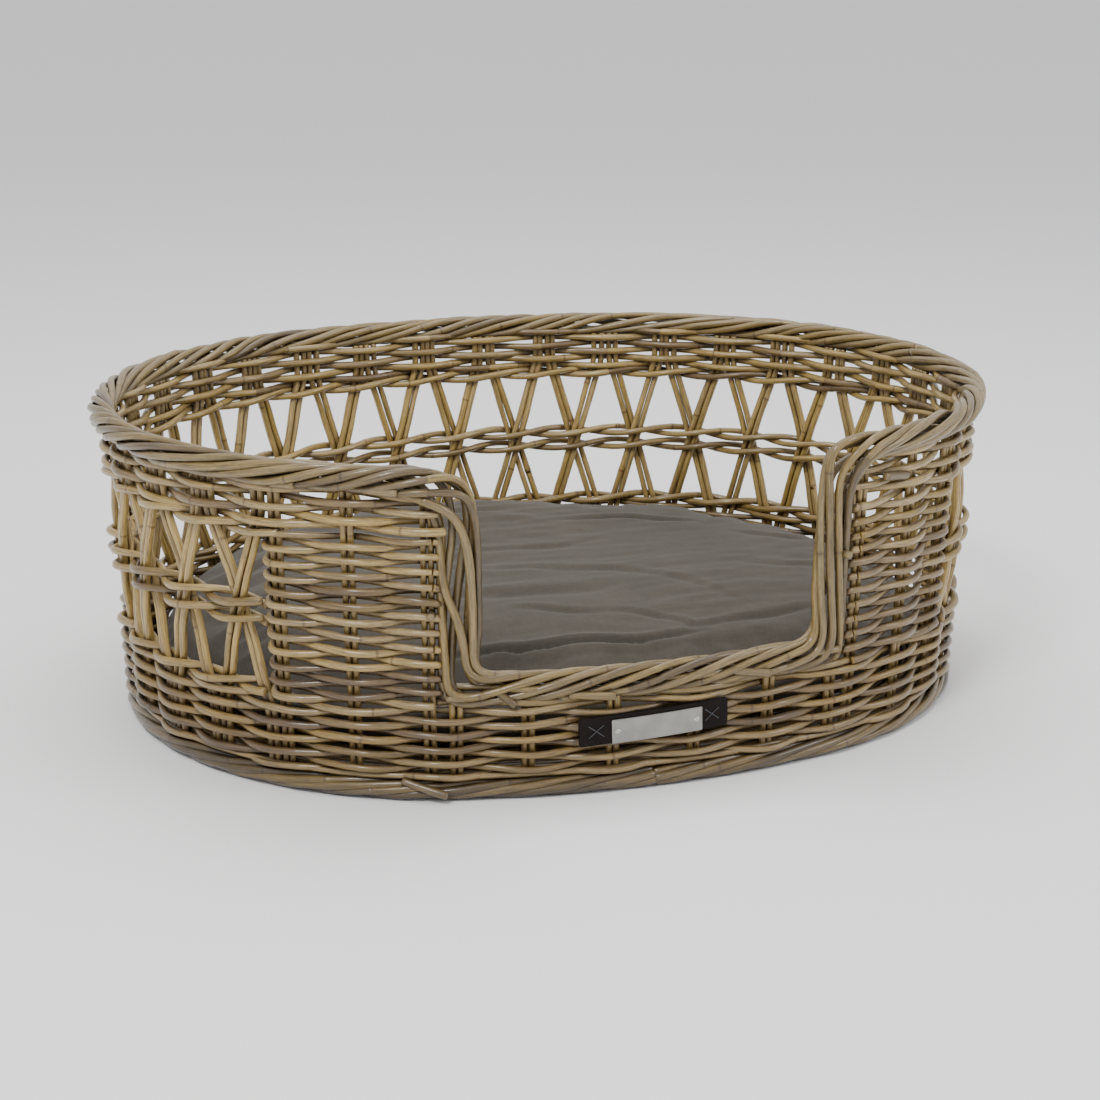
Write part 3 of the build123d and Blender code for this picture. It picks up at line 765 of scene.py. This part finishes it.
def base_sticks(name, node, axis, spacing, count):
    """Straight sticks from wall to wall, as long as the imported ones."""
    strands = Strands(step=8 * mm)
    low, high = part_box(node)
    level = (low.z + high.z) / 2
    inset = half_width - (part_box("base_sticks_cross")[1].y - oval_y)
    station = np.arange(0, perimeter, 2 * mm)
    edge = wall(station, -inset, 0)
    for number in range(-(count // 2), count // 2 + 1):
        place = number * spacing + (oval_y if axis == 0 else 0)
        beyond = edge[np.abs(edge[:, 1 - axis] - place) < 3 * mm][:, axis]
        along = np.linspace(beyond.min(), beyond.max(), 40)
        points = np.full((40, 3), level)
        points[:, axis] = along
        points[:, 1 - axis] = place + wobble(along, 1 * mm, 0.5)
        strands.add(points, stick_radius * 0.97, upright)
    strands.build(name, rattan_base, "basket", "rattan_base", node)


base_sticks("base_stick_long_strands", "base_sticks_long", 0, 62 * mm, 9)
base_sticks("base_stick_cross_strands", "base_sticks_cross", 1, 58 * mm, 13)

mat = Strands(step=7 * mm, sides=6)
mat_radius = 3.2 * mm
mat_height = (foot_top + base_top) / 2
station = np.arange(0, perimeter + 4 * mm, 4 * mm)
for row in range(int((end_radius - 4 * mm) / (2 * mat_radius)) + 2):
    outset = base_overhang - 5 * mm - row * 2 * mat_radius
    if outset > -end_radius:
        points = wall(station, outset - flare * mat_height, mat_height)
        wave = np.cos(points[:, 0] * pi / (58 * mm)) + np.cos((points[:, 1] - oval_y) * pi / (62 * mm))
        points[:, 2] = mat_height + 0.35 * mm * (-1) ** row * wave
        mat.add(points, mat_radius, upright, caps=(False, False))
mat.build("base_weave_strands", rattan_base, "basket", "rattan_base", "base_weave")

# ---- small trim: slabs that follow the wall -----------------------------------------------------------


def rounded_outline(length, tall, rounding, inset):
    """Points round a rounded rectangle drawn in by an inset; the same number of points for every inset."""
    half_u = length / 2 - inset
    half_v = tall / 2 - inset
    radius = max(rounding - inset, 0.05 * mm)
    radius = min(radius, half_v)
    points = []
    corners = ((1, -1, -pi / 2), (1, 1, 0), (-1, 1, pi / 2), (-1, -1, pi))
    for number, (right, top, start) in enumerate(corners):
        centre = np.array([right * (half_u - radius), top * (half_v - radius)])
        for angle in np.linspace(start, start + pi / 2, 6):
            points.append(centre + radius * np.array([cos(angle), sin(angle)]))
        following = corners[(number + 1) % 4]
        target = np.array([following[0] * (half_u - radius), following[1] * (half_v - radius)])
        first = centre + radius * np.array([cos(start + pi / 2), sin(start + pi / 2)])
        last = target + radius * np.array([cos(start + pi / 2), sin(start + pi / 2)])
        divisions = 40 if number % 2 else 8
        for share in np.linspace(0, 1, divisions + 1)[1:-1]:
            points.append(first * (1 - share) + last * share)
    return np.array(points)


def slab(name, material, body, slot_name, nodes, size, place, layers, relief=None):
    """A thin rounded plate on the wall.

    layers: (inset, outset) from its back edge over its face to its middle.
    """
    length, tall, rounding = size
    middle, height, tilt = place
    vertices, faces = [], []
    for inset, outset in layers:
        flat = rounded_outline(length, tall, rounding, inset)
        lift = np.zeros(len(flat)) if relief is None else relief(flat[:, 0], flat[:, 1])
        u = flat[:, 0] * cos(tilt) - flat[:, 1] * sin(tilt)
        v = flat[:, 0] * sin(tilt) + flat[:, 1] * cos(tilt)
        vertices.append(wall(middle + u, outset + lift, height + v))
    count = len(vertices[0])
    for ring in range(len(layers) - 1):
        for k in range(count):
            a, b = ring * count + k, ring * count + (k + 1) % count
            faces.append([a, b, b + count, a + count])
    faces.append([k for k in reversed(range(count))])
    mesh = bpy.data.meshes.new(name)
    mesh.from_pydata(np.concatenate(vertices), [], faces)
    work = bmesh.new()
    work.from_mesh(mesh)
    bmesh.ops.remove_doubles(work, verts=work.verts, dist=0.02 * mm)
    bmesh.ops.holes_fill(work, edges=work.edges, sides=0)
    bmesh.ops.recalc_face_normals(work, faces=work.faces)
    work.to_mesh(mesh)
    work.free()
    mesh.shade_smooth()
    return tie(mesh, name, material, body, slot_name, *nodes)


def leather():
    """Dark brown leather: fine pebbled grain and a soft sheen."""
    material, nodes, links, shader = new_material("tag_leather")
    place = nodes.new("ShaderNodeTexCoord").outputs["Object"]
    patches = noise_node(nodes, links, place, 60, 4)
    colour = ramp(nodes, ((0.3, (0.0034, 0.0018, 0.0015)), (0.7, (0.0085, 0.0048, 0.0040))))
    links.new(patches, colour.inputs[0])
    links.new(colour.outputs[0], shader.inputs["Base Color"])
    shader.inputs["Roughness"].default_value = 0.6
    shader.inputs["Specular IOR Level"].default_value = 0.13
    cells = nodes.new("ShaderNodeTexVoronoi")
    cells.inputs["Scale"].default_value = 1100
    links.new(place, cells.inputs["Vector"])
    links.new(bump_node(nodes, links, cells.outputs["Distance"], 0.45, 0.3 * mm), shader.inputs["Normal"])
    return material


def brushed_metal(name, colour_low, colour_high, roughness):
    """Brushed metal: fine scratches along X, faint smears."""
    material, nodes, links, shader = new_material(name)
    place = nodes.new("ShaderNodeTexCoord").outputs["Object"]
    scratches = noise_node(nodes, links, place, 1500, 2, stretch=(0.03, 1, 1))
    smears = noise_node(nodes, links, place, 45, 3)
    colour = ramp(nodes, ((0.3, colour_low), (0.7, colour_high)))
    links.new(smears, colour.inputs[0])
    links.new(colour.outputs[0], shader.inputs["Base Color"])
    shader.inputs["Metallic"].default_value = 1
    rough = nodes.new("ShaderNodeMapRange")
    rough.inputs["To Min"].default_value = roughness - 0.08
    rough.inputs["To Max"].default_value = roughness + 0.10
    links.new(scratches, rough.inputs["Value"])
    links.new(rough.outputs[0], shader.inputs["Roughness"])
    links.new(bump_node(nodes, links, scratches, 0.35, 0.1 * mm), shader.inputs["Normal"])
    return material


def thread(name, dark, light):
    """Twisted thread or coarse woven tape."""
    material, nodes, links, shader = new_material(name)
    place = nodes.new("ShaderNodeTexCoord").outputs["Object"]
    fibres = noise_node(nodes, links, place, 900, 3)
    colour = ramp(nodes, ((0.3, dark), (0.7, light)))
    links.new(fibres, colour.inputs[0])
    links.new(colour.outputs[0], shader.inputs["Base Color"])
    shader.inputs["Roughness"].default_value = 0.85
    links.new(bump_node(nodes, links, fibres, 0.6, 0.4 * mm), shader.inputs["Normal"])
    return material


# ---- leather tag with its plate -------------------------------------------------------------------------
strap_low, strap_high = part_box("tag_strap")
plate_low, plate_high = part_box("name_plate")
tag_tilt = radians(2.5)
strap_size = (142 * mm, 27 * mm, 2.6 * mm)
strap_middle = (strap_low.x + strap_high.x) / 2
strap_height = (strap_low.z + strap_high.z) / 2
plate_size = (86 * mm, 23 * mm, 1.2 * mm)
plate_middle = (plate_low.x + plate_high.x) / 2
plate_height = (plate_low.z + plate_high.z) / 2
strap_back = 11.6 * mm
strap_face = 14.2 * mm
plate_face = strap_face + 1.2 * mm
stitch_place = 55 * mm
stitch_reach = 7.2 * mm


def strap_relief(u, v):
    """The strap is drawn in a little under each cross of thread and bows between the stakes."""
    pinch = sum(np.exp(-((u - side * stitch_place) ** 2 + v**2) / (6 * mm) ** 2) for side in (-1, 1))
    return -0.8 * mm * pinch + 0.25 * mm * np.sin(u * 60)


def inward(face, bevel, tall, back_outset):
    """The layers of a slab: back edge, rounded rim, then flat to its middle line."""
    rim = [(0, back_outset), (0, face - bevel), (0.3 * bevel, face - 0.35 * bevel), (bevel, face)]
    return rim + [(bevel + (tall / 2 - bevel) * share, face) for share in (0.15, 0.35, 0.55, 0.78, 1)]


slab("tag_strap_leather", leather(), "basket", "tag_leather", ["tag_strap"], strap_size,
     (strap_middle, strap_height, tag_tilt), inward(strap_face, 0.8 * mm, strap_size[1], strap_back),
     strap_relief)
plate_metal = brushed_metal("tag_metal", (0.235, 0.225, 0.208), (0.31, 0.30, 0.28), 0.34)
slab("name_plate_metal", plate_metal, "basket", "tag_metal", ["name_plate"], plate_size,
     (plate_middle, plate_height, tag_tilt),
     inward(plate_face, 0.4 * mm, plate_size[1], strap_face - 0.3 * mm))


def tag_point(u, v, outset, middle, height):
    x = middle + u * cos(tag_tilt) - v * sin(tag_tilt)
    z = height + u * sin(tag_tilt) + v * cos(tag_tilt)
    return wall(x, outset, z)


def brad(vertices, faces, u):
    """A small rivet whose head is split into six petals."""
    rings = ((1.0, -0.3), (1.0, 0.25), (0.86, 0.62), (0.6, 0.82), (0.3, 0.70), (0.12, 0.55))
    start = len(vertices)
    turns = np.linspace(0, 2 * pi, 49)[:-1]
    for share, lift in rings:
        petals = 1 + 0.16 * np.cos(6 * turns) * (share > 0.5)
        groove = -0.16 * (np.abs(np.sin(3 * turns)) ** 6) * (share < 0.95)
        radius = 2.7 * mm * share * petals
        ring = tag_point(u + radius * np.cos(turns), radius * np.sin(turns),
                         plate_face + (lift + groove) * mm,
                         plate_middle, plate_height)
        vertices.extend(ring)
    for ring in range(len(rings) - 1):
        for k in range(48):
            a, b = start + ring * 48 + k, start + ring * 48 + (k + 1) % 48
            faces.append([a, b, b + 48, a + 48])
    faces.append([start + (len(rings) - 1) * 48 + k for k in range(48)])


brad_vertices, brad_faces = [], []
for side in (-1, 1):
    brad(brad_vertices, brad_faces, side * 37.5 * mm)
mesh = bpy.data.meshes.new("plate_brad_heads")
mesh.from_pydata(brad_vertices, [], brad_faces)
mesh.shade_smooth()
brad_metal = brushed_metal("brad_metal", (0.36, 0.34, 0.29), (0.52, 0.50, 0.44), 0.22)
tie(mesh, "plate_brad_heads", brad_metal, "basket", "tag_metal", "plate_brads")

cord_thread = thread("tag_thread", (0.026, 0.027, 0.032), (0.062, 0.064, 0.074))
stitches = Strands(step=0.6 * mm, sides=7)
for side in (-1, 1):
    for slope in (-1, 1):
        share = np.linspace(-1, 1, 24)
        u = side * stitch_place + stitch_reach * share
        v = slope * stitch_reach * 0.8 * share
        rise = strap_face + strap_relief(u, v) + (0.35 + (0.3 if slope > 0 else 0) * (1 - share**2)) * mm
        rise = rise - 1.1 * mm * np.abs(share) ** 12
        for ply in (0, 1):
            twist_angle = np.linspace(0, 14 * pi, 24 * 6) + ply * pi
            fine = np.linspace(-1, 1, 24 * 6)
            fu = np.interp(fine, share, u) + 0.22 * mm * np.cos(twist_angle)
            fv = np.interp(fine, share, v) + 0.22 * mm * np.cos(twist_angle)
            fo = np.interp(fine, share, rise) + 0.22 * mm * np.sin(twist_angle)
            points = tag_point(fu, fv, fo, strap_middle, strap_height)
            stitches.add(points, 0.36 * mm, facing(strap_middle + fu), bumps=False)
stitches.build("tag_stitch_threads", cord_thread, "basket", "tag_thread", "tag_stitches")

wrinkle_seed = np.random.default_rng(5)

# ---- cushion ----------------------------------------------------------------------------------------------
cushion_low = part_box("cover_bottom")[0].z
cushion_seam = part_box("cover_top")[0].z
cushion_outset = -20 * mm
cushion_voxel = 6.5 * mm
filling_pressure = 4
filling_frames = 20
swell_cap = 7 * mm         # holds back about four points in five, so the drawn start sets most of the shape
cushion_outline = (   # height and how far inside the seam, from below to the crown
    (cushion_low + 1 * mm, 60 * mm), (cushion_low + 1 * mm, 44 * mm), (30 * mm, 29 * mm), (38 * mm, 15 * mm),
    (50 * mm, 6 * mm), (cushion_seam, 3 * mm), (76 * mm, 6 * mm), (88 * mm, 16 * mm), (97 * mm, 36 * mm),
    (104 * mm, 70 * mm), (109 * mm, 115 * mm), (112 * mm, 170 * mm), (113 * mm, 235 * mm),
    (113 * mm, 295 * mm),
)


def cushion_start():
    """The cushion before it is filled: a little smaller than it ends, fuller at the back left."""
    count = 360
    station = np.arange(count) * perimeter / count
    vertices, faces = [], []
    dense = []
    for (low, near), (high, far) in zip(cushion_outline, cushion_outline[1:]):
        for share in np.linspace(0, 1, 4)[:-1]:
            dense.append((low + (high - low) * share, near + (far - near) * share))
    dense.append(cushion_outline[-1])
    for height, inward_by in dense:
        vertices.append(wall(station, cushion_outset - inward_by - flare * height, height))
    rings = len(dense)
    for ring in range(rings - 1):
        for k in range(count):
            a, b = ring * count + k, ring * count + (k + 1) % count
            faces.append([a, b, b + count, a + count])
    faces.append([k for k in reversed(range(count))])
    faces.append([(rings - 1) * count + k for k in range(count)])
    points = np.concatenate(vertices)
    above = smooth((points[:, 2] - cushion_seam) / (30 * mm))
    lump = np.exp(-((points[:, 0] + 0.10) / 0.28) ** 2 - ((points[:, 1] - oval_y - 0.23) / 0.13) ** 2)
    hollow = np.exp(-((points[:, 0] - 0.30) / 0.14) ** 2 - ((points[:, 1] - oval_y) / 0.25) ** 2)
    front = np.exp(-((points[:, 1] - oval_y + 0.24) / 0.10) ** 2)
    points[:, 2] += above * (21 * mm * lump - 7 * mm * hollow - 7 * mm * front)
    mesh = bpy.data.meshes.new("cushion_start")
    mesh.from_pydata(points, [], faces)
    return mesh


def remeshed(mesh, size):
    """The same shape with an even mesh."""
    holder = bpy.data.objects.new("holder", mesh)
    bpy.context.scene.collection.objects.link(holder)
    modifier = holder.modifiers.new("remesh", "REMESH")
    modifier.mode = "VOXEL"
    modifier.voxel_size = size
    result = bpy.data.meshes.new_from_object(holder.evaluated_get(bpy.context.evaluated_depsgraph_get()))
    bpy.data.objects.remove(holder)
    return result


def coordinates(mesh):
    points = np.empty(len(mesh.vertices) * 3, np.float32)
    mesh.vertices.foreach_get("co", points)
    return points.reshape(-1, 3).astype(float)


def inflate(mesh, cap):
    """Fills the cover by cloth simulation, held along the seam and the zip; no point moves more than cap."""
    start = coordinates(mesh)
    holder = bpy.data.objects.new("filling_up", mesh)
    bpy.context.scene.collection.objects.link(holder)
    at_zip = ((start[:, 1] > oval_y) & (np.abs(start[:, 0]) < 0.18)
              & (np.abs(start[:, 2] - cushion_seam) < 13 * mm))
    held = (np.abs(start[:, 2] - cushion_seam) < 2.6 * mm) | at_zip
    group = holder.vertex_groups.new(name="held")
    group.add(np.flatnonzero(held).tolist(), 1, "REPLACE")
    cloth = holder.modifiers.new("cloth", "CLOTH")
    cloth.settings.quality = 4
    cloth.settings.mass = 0.25
    cloth.settings.tension_stiffness = 12
    cloth.settings.compression_stiffness = 12
    cloth.settings.shear_stiffness = 4
    cloth.settings.bending_stiffness = 0.3
    cloth.settings.shrink_min = -0.018
    cloth.settings.use_pressure = True
    cloth.settings.uniform_pressure_force = filling_pressure
    cloth.settings.vertex_group_mass = "held"
    cloth.settings.effector_weights.gravity = 0
    scene = bpy.context.scene
    for frame_number in range(1, filling_frames + 1):
        scene.frame_set(frame_number)
    result = bpy.data.meshes.new_from_object(holder.evaluated_get(bpy.context.evaluated_depsgraph_get()))
    bpy.data.objects.remove(holder)
    scene.frame_set(1)
    moved = coordinates(result) - start
    length = np.linalg.norm(moved, axis=1, keepdims=True)
    moved *= np.minimum(1, cap / np.maximum(length, 1e-9))
    result.vertices.foreach_set("co", (start + moved).astype(np.float32).ravel())
    return result


# Folds of the slack cover. Each runs through a few places on the crown (x and y from the oval's middle).
folds = (   # depth, half width, places
    (5.6, 7.0, ((-190, -212), (-130, -222), (-35, -221), (50, -236), (95, -222))),
    (3.2, 8.0, ((70, -214), (140, -206), (225, -184))),
    (3.6, 8.0, ((40, 118), (80, 121), (156, 115), (215, 96))),
    (1.9, 9.0, ((-110, 52), (-58, 43), (14, 32), (90, 51))),
    (1.7, 11.0, ((-160, 4), (-74, -13), (66, -53), (111, -86), (162, -185))),
    (2.4, 16.0, ((-190, -84), (-93, -95), (3, -108), (50, -101))),
    (2.2, 8.0, ((-80, -136), (-48, -144), (-20, -163), (10, -168))),
    (2.1, 7.0, ((0, -163), (30, -171), (76, -197), (84, -228))),
    (2.0, 10.0, ((-160, -240), (-16, -245), (62, -250), (160, -232))),
    (2.2, 8.0, ((-120, 150), (-60, 164), (10, 160))),
    (2.4, 9.0, ((-330, 60), (-260, 88), (-180, 80))),
    (2.4, 9.0, ((-350, -40), (-270, -20), (-190, -34))),
    (2.2, 9.0, ((230, 60), (290, 35), (345, 40))),
    (2.0, 9.0, ((200, -60), (280, -75), (350, -60))),
)


def fold_line(places):
    """A smooth line through the places of a fold."""
    places = np.array(places, float) * mm
    run = np.concatenate([[0], np.cumsum(np.linalg.norm(np.diff(places, axis=0), axis=1))])
    fine = np.linspace(0, run[-1], 60)
    line = np.stack([np.interp(fine, run, places[:, axis]) for axis in (0, 1)], axis=1)
    for _ in range(60):
        line[1:-1] = (line[:-2] + line[2:] + 2 * line[1:-1]) / 4
    line[:, 1] += 1.6 * mm * np.sin(fine * 70 + places[0, 0] * 50)
    return line, fine / run[-1]


def fold_cover(points):
    """Height of the folds at each point, and how much painted shade each point gets at the bottom of a fold:
    a valley under a fuller far side.
    """
    x = points[:, 0]
    y = points[:, 1] - oval_y
    lift = np.zeros(len(points))
    fold_shade = np.zeros(len(points))
    for depth, half, places in folds:
        line, share = fold_line(places)
        away = np.stack([x, y], axis=1)[:, None] - line[None]
        distance = np.linalg.norm(away, axis=2)
        nearest = distance.argmin(axis=1)
        gap = distance[np.arange(len(points)), nearest]
        side = np.sign(away[np.arange(len(points)), nearest, 1])
        fade = np.sin(pi * np.clip(share[nearest], 0, 1)) ** 0.7
        offset = side * gap / (half * mm)
        valley = -np.exp(-(offset / 0.62) ** 2)
        ridge = 0.55 * np.exp(-((offset - 1.1) / 0.75) ** 2) + 0.25 * np.exp(-((offset + 2.4) / 1.8) ** 2)
        lift += depth * mm * fade * (valley + ridge)
        # Painted shade, strongest along the bottom of the deeper folds.
        fold_shade = np.maximum(fold_shade, fade * np.exp(-(gap / (4 * mm)) ** 2) * min(depth / 5.5, 1) ** 1.5)
    for _ in range(16):
        lean = wrinkle_seed.normal(0, 0.22)
        length = wrinkle_seed.uniform(16, 60) * mm
        across = y * cos(lean) + x * sin(lean)
        patch = np.sin(x * wrinkle_seed.uniform(5, 20) + wrinkle_seed.uniform(0, 6)) * np.sin(
            y * wrinkle_seed.uniform(8, 24) + wrinkle_seed.uniform(0, 6))
        wave = np.sin(across / length * 2 * pi + wrinkle_seed.uniform(0, 6) + 1.2 * np.sin(x * 14))
        lift += length * 0.012 * np.maximum(patch, 0) * wave
    return lift, fold_shade


def gather(points):
    """Short puckers that run up and down from the seam."""
    angle = np.arctan2(points[:, 1] - oval_y, points[:, 0])
    near = np.exp(-((points[:, 2] - cushion_seam) / (20 * mm)) ** 2)
    ripple = np.sin(angle * 61 + 2 * np.sin(angle * 9)) * (0.5 + 0.5 * np.sin(angle * 13 + 1))
    return 1.1 * mm * near * ripple


def seam_pinch(points):
    """The seam is drawn in by its stitches."""
    return -1.6 * mm * np.exp(-((points[:, 2] - cushion_seam) / (2.6 * mm)) ** 2)


def canvas():
    """Grey-brown cotton canvas: a plain weave, slubs, faint fading, and painted shade in the folds."""
    material, nodes, links, shader = new_material("cushion_canvas")
    place = nodes.new("ShaderNodeTexCoord").outputs["Object"]
    fading = noise_node(nodes, links, place, 7, 4, 0.6)
    slubs_x = noise_node(nodes, links, place, 420, 3, stretch=(0.12, 1, 1))
    slubs_y = noise_node(nodes, links, place, 420, 3, stretch=(1, 0.12, 1))
    cloth = math_node(nodes, links, "ADD", slubs_x, slubs_y)
    cloth = math_node(nodes, links, "MULTIPLY", cloth, 0.5)
    base = ramp(nodes, ((0.3, (0.040, 0.0330, 0.0240)), (0.7, (0.055, 0.0452, 0.0330))))
    links.new(fading, base.inputs[0])
    threads = ramp(nodes, ((0.35, (0.80, 0.80, 0.80)), (0.65, (1.16, 1.15, 1.13))))
    links.new(cloth, threads.inputs[0])
    colour = mix_node(nodes, links, "MULTIPLY", 1.0, base.outputs[0], threads.outputs[0])
    # Painted shade: the colour darkens along the bottom of each fold.
    depth = nodes.new("ShaderNodeAttribute")
    depth.attribute_name = "fold_shade_paint"
    colour = mix_node(nodes, links, "MULTIPLY", depth.outputs["Fac"], colour, (0.42, 0.41, 0.40))
    links.new(colour, shader.inputs["Base Color"])
    shader.inputs["Roughness"].default_value = 0.92
    shader.inputs["Sheen Weight"].default_value = 0.12
    shader.inputs["Sheen Roughness"].default_value = 0.5
    links.new(bump_node(nodes, links, cloth, 0.5, 0.35 * mm), shader.inputs["Normal"])
    return material


def cushion():
    mesh = remeshed(cushion_start(), cushion_voxel)
    mesh = inflate(mesh, swell_cap)
    holder = bpy.data.objects.new("smoother", mesh)
    bpy.context.scene.collection.objects.link(holder)
    finer = holder.modifiers.new("finer", "SUBSURF")
    finer.levels = 1
    finer.render_levels = 1
    mesh = bpy.data.meshes.new_from_object(holder.evaluated_get(bpy.context.evaluated_depsgraph_get()))
    bpy.data.objects.remove(holder)
    points = coordinates(mesh)
    up = smooth((points[:, 2] - 88 * mm) / (14 * mm))
    lift, fold_shade = fold_cover(points)
    points[:, 2] += up * lift
    outward = points[:, :2] - np.array([0, oval_y])
    outward /= np.maximum(np.linalg.norm(outward, axis=1, keepdims=True), 1e-6)
    at_zip = (points[:, 1] > oval_y) & (np.abs(points[:, 0]) < 0.18)
    drawn = (gather(points) + seam_pinch(points)) * np.where(at_zip, 0, 1)
    points[:, :2] += outward * drawn[:, None]
    points[:, 2] = np.maximum(points[:, 2], cushion_low + 0.2 * mm)
    mesh.vertices.foreach_set("co", points.astype(np.float32).ravel())
    # The painted fold shade, stored for the canvas colour.
    fold_shade_layer = mesh.attributes.new("fold_shade_paint", "FLOAT", "POINT")
    fold_shade_layer.data.foreach_set("value", (up * fold_shade).astype(np.float32))
    mesh.materials.clear()
    mesh.shade_smooth()
    piece = tie(mesh, "cushion_cover", canvas(), "cushion", "cushion_canvas", "cover_top", "cover_bottom",
                "pad_filling")


cushion()

# ---- zip at the back of the cushion ----------------------------------------------------------------------
zip_fabric = thread("zip_fabric", (0.045, 0.040, 0.034), (0.075, 0.067, 0.057))
zip_plastic = thread("zip_plastic", (0.035, 0.032, 0.028), (0.050, 0.046, 0.040))
zip_reach = radians(13.2)
zip_length = 2 * zip_reach * long_radius
zip_seam = (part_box("zip_teeth")[0].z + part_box("zip_teeth")[1].z) / 2


def back_point(along, out, height):
    """A point on the cushion's back arc, along from the back centre and out from the wall's line."""
    along, out, height = np.broadcast_arrays(*(np.asarray(v, float) for v in (along, out, height)))
    angle = along / long_radius
    distance = long_radius + out
    return np.stack([distance * np.sin(angle), oval_y - long_centre + distance * np.cos(angle), height],
                    axis=-1)


def zip_tape():
    """Two tapes side by side with folded edges and a stitched line."""
    vertices, faces = [], []
    profile = ((-11, 0.1), (-10.6, 0.7), (-8, 0.85), (-7.6, 0.6), (-7.2, 0.85), (-1, 0.8), (-0.4, 0.45),
               (0.4, 0.45), (1, 0.8), (7.2, 0.85), (7.6, 0.6), (8, 0.85), (10.6, 0.7), (11, 0.1))
    along = np.linspace(-zip_length / 2, zip_length / 2, 160)
    for across, out in profile:
        vertices.append(back_point(along, cushion_outset + out * mm, zip_seam + across * mm))
    for row in range(len(profile) - 1):
        for k in range(159):
            a = row * 160 + k
            faces.append([a, a + 1, a + 161, a + 160])
    mesh = bpy.data.meshes.new("zip_tape_fabric")
    mesh.from_pydata(np.concatenate(vertices), [], faces)
    mesh.shade_smooth()
    tie(mesh, "zip_tape_fabric", zip_fabric, "cushion", "zip_fabric", "zip_tape")


zip_tape()
coil = Strands(step=0.55 * mm, sides=6)
turns = np.linspace(-zip_length / 2, zip_length / 2, 4200)
wind = turns / (2.2 * mm) * 2 * pi
for way in (-1, 1):
    across = way * 0.95 * mm + 1.25 * mm * np.cos(wind + (0 if way > 0 else pi))
    out = cushion_outset + 1.6 * mm + 0.45 * mm * np.sin(wind)
    coil.add(back_point(turns, out, zip_seam + across), 0.42 * mm, upright + np.array([0.3, 0, 0]),
             bumps=False)
coil.build("zip_teeth_coil", zip_plastic, "cushion", "zip_plastic", "zip_teeth")

zip_metal = brushed_metal("zip_metal", (0.20, 0.19, 0.18), (0.33, 0.32, 0.30), 0.3)
for node in ("zip_slider", "zip_pull"):
    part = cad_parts[node]
    part.data.materials.clear()
    part.data.materials.append(zip_metal)


# ---- floor, light and camera ------------------------------------------------------------------------
def stage_scene():
    """Pale floor, soft studio light and the camera."""
    material, nodes, links, shader = new_material("floor")
    shader.inputs["Base Color"].default_value = (0.86, 0.86, 0.86, 1)
    shader.inputs["Roughness"].default_value = 0.8
    mesh = bpy.data.meshes.new("floor")
    size = 45
    mesh.from_pydata([(-size, -size, 0), (size, -size, 0), (size, size, 0), (-size, size, 0)], [],
                     [(0, 1, 2, 3)])
    mesh.materials.append(material)
    floor = bpy.data.objects.new("floor", mesh)
    bpy.context.scene.collection.objects.link(floor)

    world = bpy.data.worlds.new("studio")
    bpy.context.scene.world = world
    world.use_nodes = True
    background = world.node_tree.nodes["Background"]
    background.inputs[0].default_value = (1, 1, 1, 1)
    background.inputs[1].default_value = 0.95
    lights = (
        ("key", (-1.5, -1.9, 2.8), 0.8, 72),
        ("fill", (2.4, -1.8, 1.8), 1.0, 28),
        ("top", (0.2, 0.6, 2.8), 2.0, 42),
    )
    for name, place, size, power in lights:
        light = bpy.data.lights.new(name, "AREA")
        light.size = size
        light.energy = power
        lamp = bpy.data.objects.new(name, light)
        lamp.location = place
        aim = Vector((0, 0, 0.12)) - Vector(place)
        lamp.rotation_euler = aim.to_track_quat("-Z", "Y").to_euler()
        bpy.context.scene.collection.objects.link(lamp)

    camera_azimuth = radians(-17.834)
    camera_elevation = radians(16.286)
    camera_distance = 2.2448
    target = Vector((0.00606, oval_y - 0.00195, 0.1297))
    away = Vector((sin(camera_azimuth) * cos(camera_elevation), -cos(camera_azimuth) * cos(camera_elevation),
                   sin(camera_elevation)))
    data = bpy.data.cameras.new("camera")
    data.sensor_width = 36
    data.lens = 71.43
    camera = bpy.data.objects.new("camera", data)
    camera.location = target + away * camera_distance
    camera.rotation_euler = (-away).to_track_quat("-Z", "Y").to_euler()
    bpy.context.scene.collection.objects.link(camera)
    bpy.context.scene.camera = camera


stage_scene()
